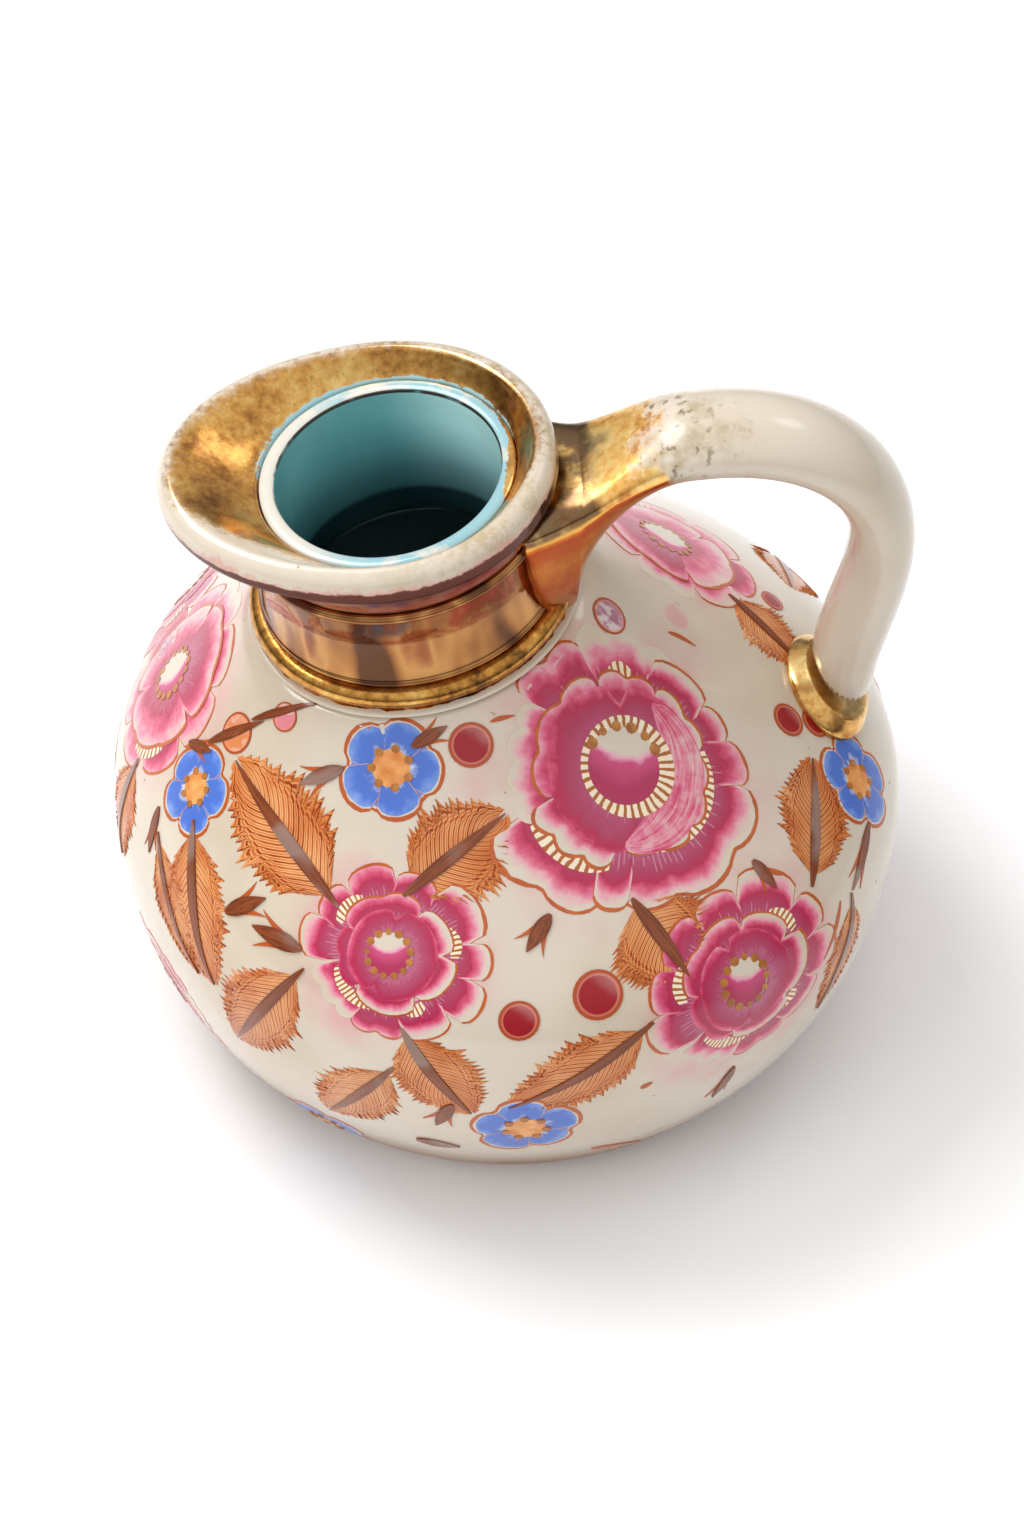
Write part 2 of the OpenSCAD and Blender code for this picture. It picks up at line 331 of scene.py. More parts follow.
def skin_rings(name, rings, rises=None, end=close_ends, smooth=1):
    """Skin a stack of rings with as many points each; rises are the rings' places on the map."""
    count = len(rings[0])
    piece = start_piece(name, bpy.ops.mesh.primitive_circle_add, vertices=count)
    in_edit(piece, *[bpy.ops.mesh.extrude_region_move] * (len(rings) - 1))
    mesh = piece.data
    above = {}
    for edge in mesh.edges:
        low, high = sorted(edge.vertices)
        if high // count == low // count + 1:
            above[low] = high
    column = list(range(count))
    place = {}
    for ring, points in enumerate(rings):
        for turn, (vertex, point) in enumerate(zip(column, points)):
            mesh.vertices[vertex].co = point
            place[vertex] = (turn, ring)
        column = [above.get(vertex) for vertex in column]
    map_rings(mesh, place, count, rises or [ring / (len(rings) - 1) for ring in range(len(rings))])
    in_edit(piece, end, face_outwards)
    apply(piece, "SUBSURF", levels=smooth, render_levels=smooth)
    bpy.ops.object.shade_smooth()
    print(name, len(piece.data.vertices), "vertices")
    return piece


def dress(piece, material, node=None):
    """Give a piece its finish, let it ride on the ewer, and hide the solid that it stands for."""
    piece.data.materials.append(material)
    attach(piece, "root")
    if node:
        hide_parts(node)


def turns(count):
    return [2 * math.pi * step / count for step in range(count)]


def shares(steps):
    return [step / steps for step in range(steps + 1)]


def mix(first, second, share):
    return first + (second - first) * share


def ease(share):
    return share * share * (3 - 2 * share)


print("clay helpers ready")

# %% [markdown]
# The pot is a round bowl up to its widest part. Above that, each ring is drawn over towards the
# neck's seat, which lies off the axis and leans, so the shoulder is steep on the spout's side and
# long on the handle's side. The inside follows with the wall's thickness, down to the floor.

# %% Throw the pot
widest_h = 43 * MM
bowl_depth = 63 * MM
wall = 4 * MM
floor_t = 4.5 * MM
dome_share = 0.57
pot_sides = 96


def bowl_ring(wide, depth, angle):
    height = widest_h - depth * math.sin(angle)
    reach = wide * math.cos(angle)
    return [Vector((reach * math.cos(turn), reach * math.sin(turn), height)) for turn in turns(pot_sides)]


def shoulder_point(turn, share, wide=pot_r, seat=bead_r):
    """A point of the shoulder: share 0 is the widest part and share 1 the neck's seat."""
    along = math.cos(math.pi / 2 * share)
    rise = math.sin(math.pi / 2 * share)
    lift = dome_share * rise + (1 - dome_share) * (1 - along) ** 2
    edge = neck_seat + neck_right * seat * math.cos(turn) + Vector((0, seat * math.sin(turn), 0))
    belly = Vector((wide * math.cos(turn), wide * math.sin(turn), widest_h))
    point = edge.lerp(belly, along)
    point.z = mix(widest_h, edge.z, lift)
    return point


def shoulder_ring(share, wide, seat):
    return [shoulder_point(turn, share, wide, seat) for turn in turns(pot_sides)]


bowl_angle = math.asin((widest_h - foot_h) / bowl_depth)
floor_angle = math.asin((widest_h - foot_h - floor_t) / (bowl_depth - wall))
outer_rings = [bowl_ring(pot_r, bowl_depth, bowl_angle * (1 - share)) for share in shares(16)]
outer_rings += [shoulder_ring(share, pot_r, bead_r) for share in shares(26)[1:]]
inner_rings = [shoulder_ring(share, pot_r - wall, throat_r) for share in reversed(shares(16)[1:])]
inner_rings += [bowl_ring(pot_r - wall, bowl_depth - wall, floor_angle * share) for share in shares(12)]
pot = skin_rings("pot", outer_rings + inner_rings)

# %% [markdown]
# The neck and its bead are turned pieces. Each is a loop of rings that starts on a hidden face and
# comes back to it. A plain tube would do for the form, but the neck's outline carries the fine
# moulding that catches the light: a raised line above the bead, and another where the lip begins.

# %% Turn the neck and the bead
neck_sides = 96


def neck_point(radius, turn, height):
    across = neck_right * radius * math.cos(turn) + Vector((0, radius * math.sin(turn), 0))
    return neck_seat + across + neck_up * height


def neck_rings(outline):
    return [[neck_point(radius, turn, height) for turn in turns(neck_sides)] for radius, height in outline]


def arc(middle_r, middle_h, wide, tall, start, stop, steps):
    """Points of a part of an oval in radius and height, by angles in degrees."""
    angles = [math.radians(mix(start, stop, share)) for share in shares(steps)]
    return [(middle_r + wide * math.cos(angle), middle_h + tall * math.sin(angle)) for angle in angles]


neck_waist = 0.8 * MM
groove = 0.45 * MM
line_h = 0.55 * MM
neck_low = bead_h + 2 * line_h
neck_high = neck_h - 3 * line_h
neck_outline = [(liner_r, 0), (neck_r - groove, 0), (neck_r - groove, bead_h)]
neck_outline += arc(neck_r - groove, bead_h + line_h, groove, line_h, -90, 90, 6)
neck_outline += [
    (neck_r - groove - neck_waist * math.sin(math.pi * share), mix(neck_low, neck_high, share))
    for share in shares(10)[1:]
]
neck_outline += arc(neck_r - groove, neck_h - 2 * line_h, groove, line_h, -90, 90, 6)
neck_outline += [(neck_r - groove, neck_h), (liner_r, neck_h)]
neck = skin_rings("neck_wall", neck_rings(neck_outline), end=join_ends)

bead_out = bead_r - neck_r
skirt_h = 0.7 * MM
bead_outline = [(liner_r, 0), (bead_r - line_h, 0)]
bead_outline += arc(bead_r - line_h, skirt_h / 2, line_h, skirt_h / 2, -90, 90, 6)
bead_outline += arc(neck_r - groove, (bead_h + skirt_h) / 2, bead_out, (bead_h - skirt_h) / 2, -70, 90, 10)
bead_outline += [(liner_r, bead_h)]
bead_rises = [0, 0.1] + [mix(0.1, 0.3, share) for share in shares(6)]
bead_rises += [mix(0.35, 0.9, share) for share in shares(10)] + [1]
bead = skin_rings("gilt_bead", neck_rings(bead_outline), bead_rises, end=join_ends)

# %% [markdown]
# The liner is the tube that stands in the neck, with a rounded edge that shows as a pale ring in the
# lip. The foot is the ring that the pot stands on. Both are turned in the same way as the neck, the
# liner about the leaning axis of the neck and the foot about the upright one of the pot.

# %% Turn the liner and the foot
liner_edge = (liner_r - throat_r) / 2
rim_h = 0.6 * MM
liner_outline = [(throat_r, (throat_h - rim_h) * share) for share in shares(12)[:-1]]
liner_outline += arc(throat_r + liner_edge, throat_h - rim_h, liner_edge, rim_h, 180, 0, 10)
liner_outline += [(liner_r, 0)]
liner_rises = [mix(0, 0.5, share) for share in shares(12)[:-1]]
liner_rises += [mix(0.5, 0.9, share) for share in shares(10)] + [1]
liner = skin_rings("throat_wall", neck_rings(liner_outline), liner_rises, end=join_ends)

foot_top_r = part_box("foot_ring")[1].x
foot_r = pot_r * math.sqrt(1 - (widest_h / bowl_depth) ** 2)
foot_w = 7 * MM
foot_edge = 0.6 * MM
foot_outline = [(foot_r - foot_w, foot_h), (foot_r - foot_w, foot_edge)]
foot_outline += arc(foot_r - foot_w + foot_edge, foot_edge, foot_edge, foot_edge, 180, 270, 4)
foot_outline += arc(foot_r - foot_edge, foot_edge, foot_edge, foot_edge, 270, 360, 4)
foot_outline += [(foot_top_r, foot_h)]
foot_rings = [
    [Vector((radius * math.cos(turn), radius * math.sin(turn), height)) for turn in turns(pot_sides)]
    for radius, height in foot_outline
]
foot = skin_rings("foot_rim", foot_rings, end=join_ends)

# %% [markdown]
# The lip is thrown round and then pulled out and up to a spout. Its section runs from the liner out
# along a hollow underside, up a narrow band, over a rounded crest and down into a dish. Only its
# reach and its lift change as it goes round, so one section function serves every turn, and the
# rises keep the underside, band, crest and dish apart on the map.

# %% Draw out the lip
spout_power = 5.5
rise_power = 3
band_rise = 1.3
band_h = 2.4 * MM
crest_w = 2.8 * MM
lip_chamfer = 0.6 * MM
throat_step = 0.25 * MM
ridge_h = 0.18 * MM
ridge_share = 0.16
ridge_w_share = 0.08
lip_sides = 120
band_top = crest_h - crest_w
band_low = band_top - band_h


def lip_section(turn):
    """Radius, height and rise of the lip's points, from its hidden seat round to the dish."""
    spout_share = (1 - math.cos(turn)) / 2
    edge = mix(lip_back, lip_reach, spout_share ** spout_power)
    lift = spout_rise * spout_share ** rise_power
    low, top = band_low + band_rise * lift, band_top + lift
    section = [(liner_r, neck_h, 0), (neck_r - groove, neck_h, 0.08)]
    for share in shares(7)[1:]:
        angle = math.pi / 2 * share
        radius = mix(neck_r - groove, edge - lip_chamfer, 1 - math.cos(angle))
        height = mix(neck_h, low - lip_chamfer, math.sin(angle))
        section.append((radius, height, mix(0.08, 0.36, share)))
    for share in shares(4):
        section.append((edge, mix(low, top, share), mix(0.4, 0.5, share)))
    for share in shares(7)[1:]:
        angle = math.pi / 2 * share
        radius = edge - crest_w * (1 - math.cos(angle))
        section.append((radius, top + crest_w * math.sin(angle), mix(0.5, 0.66, share)))
    for share in shares(20)[1:]:
        radius = mix(edge - crest_w, liner_r, share)
        ridge = ridge_h * (1 - spout_share) * math.exp(-((share - ridge_share) / ridge_w_share) ** 2)
        height = mix(crest_h + lift, throat_h - throat_step, mix(share, ease(share), 0.4)) + ridge
        section.append((radius, height, mix(0.66, 0.97, share)))
    return section


sections = [lip_section(turn) for turn in turns(lip_sides)]
lip_rings = [
    [neck_point(radius, turn, height) for turn, (radius, height, _) in zip(turns(lip_sides), ring)]
    for ring in zip(*sections)
]
lip = skin_rings("lustre_lip", lip_rings, [rise for _, _, rise in sections[0]], end=join_ends)

# %% [markdown]
# The handle is a pulled strap of oval section, bent through two curves and pressed on to the
# shoulder. A bevelled curve would give the same loop, but its ends could not follow the pieces that
# they meet. As a stack of oval rings, the last one can lie along the shoulder's slope.

# %% Pull the handle
handle_w = 2 * half_width("handle")
handle_t = 10.5 * MM
handle_h = 121.4 * MM
handle_reach = 58.2 * MM
bend_h = 97 * MM
root_end = 27 * MM
collar_h = 3 * MM
arch_lead, arch_swell, arch_hold = 0.55, 0.11, 0.7
leg_hold = 0.3
foot_share = 0.455
slope_step = 0.01
handle_sides = 32

handle_foot = shoulder_point(0, foot_share)
foot_run = shoulder_point(0, foot_share + slope_step) - shoulder_point(0, foot_share - slope_step)
foot_slope = foot_run.normalized()
foot_normal = Vector((foot_slope.z, 0, -foot_slope.x))
handle_end = handle_foot + foot_normal * collar_h
arch_span, arch_drop = handle_reach - root_end, handle_h - bend_h
leg_drop = bend_h - handle_end.z
arch_curve = [
    Vector((root_end, 0, handle_h)),
    Vector((root_end + arch_span * arch_lead, 0, handle_h + arch_drop * arch_swell)),
    Vector((handle_reach, 0, bend_h + arch_drop * arch_hold)),
    Vector((handle_reach, 0, bend_h)),
]
leg_curve = [
    Vector((handle_reach, 0, bend_h)),
    Vector((handle_reach, 0, bend_h - leg_drop * leg_hold)),
    handle_end + Vector((0, 0, leg_drop * leg_hold)),
    handle_end,
]


def bezier(curve, share):
    rest = 1 - share
    return (curve[0] * rest ** 3 + curve[1] * 3 * share * rest ** 2
            + curve[2] * 3 * share ** 2 * rest + curve[3] * share ** 3)


def bezier_run(curve, share):
    rest = 1 - share
    run = ((curve[1] - curve[0]) * rest ** 2 + (curve[2] - curve[1]) * 2 * share * rest
           + (curve[3] - curve[2]) * share ** 2)
    return run.normalized()


def oval_ring(middle, across, wide, thick):
    return [
        middle + across * (thick / 2 * math.sin(turn)) + Vector((0, wide / 2 * math.cos(turn), 0))
        for turn in turns(handle_sides)
    ]


def handle_ring(curve, share):
    run = bezier_run(curve, share)
    return oval_ring(bezier(curve, share), Vector((-run.z, 0, run.x)), handle_w, handle_t)


leg_share = 0.72
foot_oval_t = handle_t / abs(foot_slope.x)
tuck = 1.2 * MM
TUCK_SHARES = [0.95, 0.985]


def tucked_ring(step, inwards):
    """A smaller oval just past the joint of handle and root, hidden inside the other piece."""
    grow = TUCK_SHARES[step]
    run = bezier_run(arch_curve, 0)
    middle = arch_curve[0] + run * tuck * (len(TUCK_SHARES) - step) * inwards
    return oval_ring(middle, Vector((-run.z, 0, run.x)), handle_w * grow, handle_t * grow)


handle_rings = [tucked_ring(0, -1), tucked_ring(1, -1)]
handle_rings += [handle_ring(arch_curve, share) for share in shares(20)]
handle_rings += [handle_ring(leg_curve, leg_share * share) for share in shares(16)[1:]]
handle_rings += [oval_ring(handle_end, -foot_slope, handle_w, foot_oval_t)]
handle = skin_rings("loop_handle", handle_rings)

# %% [markdown]
# The handle's upper root is a moulded web: flat on top, with a sharp edge, and steep sides that run
# down the back of the neck to the bead. Its first ring is the handle's own oval. The rings then grow
# squarer and deeper, and the last ones bend round the neck, so that no crease shows where it ends.

# %% Mould the handle's root
root_drop = 9 * MM
root_web = 1 * MM
root_back = neck_seat.x + neck_r
root_fillet = root_end - root_back - root_web
root_sink = 0.8 * MM
root_crown = 0.24
root_flare = 1.14
root_run = root_end - root_back + 4 * MM


def neck_side(across, height):
    """How far along X the neck's wall reaches, at a place across it and a height."""
    lean = (height - neck_seat.z) * neck_up.x / neck_up.z
    return neck_seat.x + lean + math.sqrt(max(0, neck_r ** 2 - across ** 2))


def root_ring(place, keel, wrap=0.0):
    """One section of the root: flat above its ridge, squarer near the neck, and wrapped round it."""
    drop = mix((root_end - place) / root_run, 1, wrap)
    ridge = handle_h - root_drop * ease(drop)
    crown = mix(handle_t / 2, handle_t * root_crown, ease(drop))
    half = handle_w / 2 * mix(1, root_flare, ease(drop)) * (1 + 0.3 * drop ** 4 + 0.3 * wrap ** 2)
    square = mix(1, 0.7, ease(min(1, 1.6 * drop)))
    points = []
    for turn in turns(handle_sides):
        side = math.copysign(abs(math.cos(turn)) ** square, math.cos(turn))
        rise = math.copysign(abs(math.sin(turn)) ** mix(1, 0.8, drop), math.sin(turn))
        point = Vector((place, half * side, ridge + (crown if rise > 0 else ridge - keel) * rise))
        middle = neck_side(0, point.z)
        bend = (neck_side(point.y, point.z) - middle) * wrap ** 2
        point.x = mix(point.x, middle - root_sink, wrap) + bend
        points.append(point)
    return points


root_rings = [tucked_ring(0, 1), tucked_ring(1, 1)]
for share in shares(18):
    angle = math.pi / 2 * share
    place = root_end - root_fillet * math.sin(angle)
    keel = mix(neck_seat.z, handle_h - handle_t / 2, math.cos(angle))
    root_rings.append(root_ring(place, keel))
root_rings += [root_ring(root_back + root_web, neck_seat.z, share) for share in shares(6)[1:]]
root = skin_rings("gilt_root", root_rings)

# %% [markdown]
# The collar hides the joint of handle and shoulder. Its lower edge has to follow the shoulder and its
# upper edge the handle, so each ring is a mix of these two ovals, grown outwards into a round.

# %% Mould the collar
collar_out = 1.8 * MM
collar_sink = 0.6 * MM


def collar_ring(grow, lift):
    """An oval round the handle's foot, grown outwards and lifted off the shoulder."""
    half_turn = math.asin((handle_w / 2 + grow) / handle_foot.x)
    half_share = (foot_oval_t / 2 + grow) * 2 * slope_step / foot_run.length
    low = [
        shoulder_point(half_turn * math.cos(turn), foot_share - half_share * math.sin(turn))
        - foot_normal * collar_sink
        for turn in turns(handle_sides)
    ]
    high = oval_ring(handle_end, -foot_slope, handle_w + 2 * grow, foot_oval_t + 2 * grow)
    return [start.lerp(stop, lift) for start, stop in zip(low, high)]


collar_rings = [collar_ring(-2 * collar_out, 0), collar_ring(collar_out * 0.8, 0)]
for share in shares(10):
    angle = math.pi * share
    collar_rings.append(collar_ring(collar_out * mix(0.72, 1, math.sin(angle)), mix(0.12, 0.62, share)))
for share in shares(5)[1:]:
    collar_rings.append(collar_ring(collar_out * mix(0.55, 0.08, ease(share)), mix(0.66, 1, share)))
collar_rings.append(collar_ring(-2 * collar_out, 1))
collar = skin_rings("gilt_collar", collar_rings)

# %% [markdown]
# Ivory glaze is a pale gloss with warm patches and a few brown specks. On the pot, pink has bled out of the
# roses, and the glaze turns patchy brown and rougher towards the foot. The inside has a grey-green gloss.
# One flat colour would look like plastic, so noise in space drifts the tone, and the wash and the brown
# band are set out by distance from the roses and by height.

# %% Ivory glaze
def ivory_colour(tree, place):
    """Ivory with warm patches and scattered brown specks."""
    patches = fade(tree, grain(tree, place, 38, 4), 0.42, 0.72)
    clean = blend(tree, calc(tree, "MULTIPLY", patches, 0.55), IVORY, WARM_IVORY)
    specks = fade(tree, grain(tree, place, 520, 1), 0.79, 0.83)
    return blend(tree, calc(tree, "MULTIPLY", specks, 0.8), clean, tint(122, 92, 58))


def glaze_ripple(tree, shader, place):
    bump(tree, shader, grain(tree, place, 90, 2), 0.12, 0.4 * MM)


brown_top, brown_bottom = 21 * MM, 9 * MM


def pot_glaze(washes):
    """Washes are the (middle, radius) of each rose, where pink has bled into the glaze."""
    material, tree, shader = finish("ivory_glaze", {"Coat Weight": 0.4, "Coat Roughness": 0.05})
    place = surface_place(tree)
    bleed = 0.0
    for middle, radius in washes:
        away = put(tree, "VectorMath", {0: place, 1: middle}, operation="DISTANCE").outputs["Value"]
        bleed = calc(tree, "MAXIMUM", bleed, fade(tree, away, radius * 1.28, radius * 0.8))
    cloud = fade(tree, grain(tree, place, 85, 4), 0.35, 0.75)
    bleed = calc(tree, "MULTIPLY", bleed, calc(tree, "MULTIPLY", cloud, 0.62))
    height = put(tree, "SeparateXYZ", {0: place}).outputs["Z"]
    # Browner, darker and rougher towards the foot, in patches.
    patchy = calc(tree, "MULTIPLY_ADD", grain(tree, place, 60, 3), 0.6, 0.55)
    foot_brown = calc(tree, "MULTIPLY", fade(tree, height, brown_top, brown_bottom), patchy)
    glaze = blend(tree, foot_brown, ivory_colour(tree, place), tint(128, 82, 40))
    wire(tree, shader, Base_Color=blend(tree, bleed, glaze, tint(212, 134, 146)))
    wire(tree, shader, Roughness=calc(tree, "MULTIPLY_ADD", foot_brown, 0.6, 0.16))
    glaze_ripple(tree, shader, place)
    return material


def inside_glaze():
    material, tree, shader = finish("inside_glaze", {"Roughness": 0.12})
    place = surface_place(tree)
    tone = grain(tree, place, 60, 3)
    colour = ramp(tree, tone, [(0.3, tint(112, 138, 142)), (0.7, tint(132, 158, 162))])
    wire(tree, shader, Base_Color=colour)
    return material


print("ivory glazes ready")

# %% [markdown]
# Gilding is a film of metal fired on to the glaze. New, it is a mirror. On this ewer it has worn: it
# shows copper where it is thin, dark specks where dust was fired in, and clean ivory where fingers
# rubbed it off. So each gilt finish is metal of several tones, with a mask that turns it to glaze.

# %% Gilding
def gilt_tone(tree, place, scale, tones):
    """Metal of drifting tones with fine dark specks; returns colour and roughness."""
    drift = calc(tree, "MULTIPLY", grain(tree, place, scale, 4), 0.62)
    level = calc(tree, "MULTIPLY_ADD", grain(tree, place, 720, 3, 0.6), 0.38, drift)
    stops = [(mix(0.36, 0.64, step / (len(tones) - 1)), tone) for step, tone in enumerate(tones)]
    colour = ramp(tree, level, stops)
    pits = fade(tree, grain(tree, place, 1100, 2), 0.62, 0.74)
    colour = blend(tree, calc(tree, "MULTIPLY", pits, 0.3), colour, UMBER)
    rough = calc(tree, "MULTIPLY_ADD", grain(tree, place, 420, 3), 0.26, 0.08)
    return colour, rough


def gilt_grain(tree, shader, place):
    bump(tree, shader, grain(tree, place, 800, 2), 0.10, 0.15 * MM)


def gilt(name, scale, tones, worn=None):
    """A gilt finish; worn(tree, place) gives the share rubbed bare, and the bare colour."""
    material, tree, shader = finish(name, {"Coat Weight": 0.2, "Coat Roughness": 0.06})
    place = surface_place(tree)
    colour, rough = gilt_tone(tree, place, scale, tones)
    gilt_grain(tree, shader, place)
    if worn is None:
        shader.inputs["Metallic"].default_value = 1
        wire(tree, shader, Base_Color=colour, Roughness=rough)
        return material
    bare, ground = worn(tree, place)
    metal = calc(tree, "SUBTRACT", 1.0, bare)
    wire(tree, shader, Base_Color=blend(tree, bare, colour, ground), Metallic=metal, Roughness=rough)
    return material


print("gilding ready")

# %% [markdown]
# The neck has a bronze lustre, and its colour carries painted reflections: darker and brighter upright
# panels that stand in for what the mirror-like lustre shows round it. Noise that is read round the neck,
# and hardly at all along it, gives such panels. The bead below is gilt, with a narrow skirt of bare glaze.

# %% Finishes of the neck and the bead
def neck_finish():
    """Bronze lustre with upright panels of painted reflection in its colour."""
    gloss = {"Metallic": 1.0, "Coat Weight": 0.3, "Coat Roughness": 0.04}
    material, tree, shader = finish("neck_lustre", gloss)
    place = surface_place(tree)
    turn, rise = own_map(tree)
    to_handle, to_back = compass(tree, turn)
    low_rise = calc(tree, "MULTIPLY", rise, 0.4)
    panel_place = put(tree, "CombineXYZ", {0: to_handle, 1: to_back, 2: low_rise}).outputs[0]
    # Painted reflection: the upright panels stand in for what the lustre mirrors round the neck.
    panels = grain(tree, panel_place, 2.4, 2, 0.5)
    level = calc(tree, "MULTIPLY_ADD", grain(tree, place, 160, 4), 0.12, panels)
    by_root, _ = compass(tree, calc(tree, "ADD", turn, 0.125))
    near_root = fade(tree, by_root, 0.35, 0.9)
    level = calc(tree, "MULTIPLY_ADD", near_root, -0.08, calc(tree, "ADD", level, 0.02))
    colour = ramp(tree, level, [
        (0.44, tint(92, 58, 36)), (0.49, tint(136, 86, 46)), (0.55, tint(172, 118, 66)),
        (0.60, tint(190, 138, 80)), (0.65, tint(152, 92, 52)), (0.70, tint(110, 58, 38)),
    ])
    rough = calc(tree, "MULTIPLY_ADD", grain(tree, place, 420, 3), 0.12, 0.03)
    wire(tree, shader, Base_Color=colour, Roughness=rough)
    return material


def bead_wear(tree, place):
    """The bead's narrow skirt is bare glaze."""
    _, rise = own_map(tree)
    edge = calc(tree, "MULTIPLY_ADD", grain(tree, place, 300, 3), 0.08, 0.28)
    return calc(tree, "LESS_THAN", rise, edge), ivory_colour(tree, place)


print("neck and bead finishes ready")

# %% [markdown]
# On the root the gilding changes along its length: dark with patchy painted shade by the lip, where the lip
# hangs over it, bright in the middle, and rubbed down to the ivory where the fingers hold it. Its steep
# sides are copper. A mask along the handle could be cut straight, but wear has no straight edge, so noise
# makes the mask ragged. The handle carries on with the same mask, and the wear runs from one piece to the
# other without a seam.

# %% Finishes of the root and the handle
def past_root(tree, place):
    """How far a place lies past the root's end, along the handle, with a ragged edge."""
    along = put(tree, "SeparateXYZ", {0: place}).outputs["X"]
    ragged = calc(tree, "MULTIPLY_ADD", grain(tree, place, 190, 5, 0.65), 30 * MM, -15 * MM)
    return calc(tree, "ADD", calc(tree, "SUBTRACT", along, root_end), ragged)


def smoked_ivory(tree, place):
    """Ivory with the grey film and dark specks that the gilding leaves where it gives out."""
    near = fade(tree, past_root(tree, place), 9 * MM, -3 * MM)
    cloud = fade(tree, grain(tree, place, 130, 4, 0.6), 0.40, 0.62)
    film_and_sheen = calc(tree, "MULTIPLY", calc(tree, "MULTIPLY", near, cloud), 0.7)
    colour = blend(tree, film_and_sheen, ivory_colour(tree, place), tint(158, 138, 98))
    dust = calc(tree, "MULTIPLY", fade(tree, grain(tree, place, 620, 2), 0.58, 0.68), 0.75)
    return blend(tree, calc(tree, "MULTIPLY", dust, near), colour, tint(104, 86, 54))


def root_finish():
    """Gilding with painted shade by the lip, copper on its steep sides and worn off towards the handle."""
    material, tree, shader = finish("root_gilding", {"Coat Weight": 0.1, "Coat Roughness": 0.06})
    place = surface_place(tree)
    turn, _ = own_map(tree)
    tones = [tint(190, 122, 56), tint(234, 176, 90), tint(246, 206, 126), PALE_GOLD]
    colour, rough = gilt_tone(tree, place, 110, tones)
    drift = calc(tree, "MULTIPLY_ADD", grain(tree, place, 160, 3), 8 * MM, -4 * MM)
    along = calc(tree, "ADD", put(tree, "SeparateXYZ", {0: place}).outputs["X"], drift)
    # Painted shade: patchy dark where the lip hangs over the root's top.
    patchy = fade(tree, grain(tree, place, 150, 4, 0.6), 0.66, 0.44)
    lip_shade = calc(tree, "MULTIPLY", fade(tree, along, 13.5 * MM, 10 * MM), patchy)
    colour = blend(tree, calc(tree, "MULTIPLY", lip_shade, 0.85), colour, tint(92, 66, 56))
    below = calc(tree, "SINE", calc(tree, "MULTIPLY", turn, -2 * math.pi))
    run = calc(tree, "MULTIPLY_ADD", grain(tree, place, 120, 3), 0.16, calc(tree, "ADD", below, -0.08))
    flank = ramp(tree, run, [
        (0.0, tint(236, 180, 84)), (0.03, tint(200, 104, 42)), (0.06, tint(168, 74, 34)),
        (0.14, tint(178, 88, 42)), (0.24, tint(206, 136, 66)), (0.6, tint(198, 124, 70)),
        (0.85, tint(220, 164, 118)),
    ])
    colour = blend(tree, fade(tree, below, -0.06, 0.02), colour, flank)
    slant = calc(tree, "MULTIPLY_ADD", below, -3 * MM, past_root(tree, place))
    bare = fade(tree, slant, -7 * MM, -1 * MM)
    colour = blend(tree, bare, colour, smoked_ivory(tree, place))
    worn_thin = calc(tree, "MULTIPLY", fade(tree, along, 10 * MM, 14 * MM), fade(tree, below, 0.0, -0.1))
    metal = calc(tree, "MULTIPLY_ADD", worn_thin, -0.45, calc(tree, "SUBTRACT", 1.0, bare))
    wire(tree, shader, Base_Color=colour, Metallic=calc(tree, "MAXIMUM", metal, 0.0), Roughness=rough)
    gilt_grain(tree, shader, place)
    return material


def handle_finish():
    """Ivory with brown specks, smoked where the root's gilding gives out."""
    gloss = {"Roughness": 0.18, "Coat Weight": 0.4, "Coat Roughness": 0.05}
    material, tree, shader = finish("handle_glaze", gloss)
    place = surface_place(tree)
    wire(tree, shader, Base_Color=smoked_ivory(tree, place))
    glaze_ripple(tree, shader, place)
    return material


print("root and handle finishes ready")
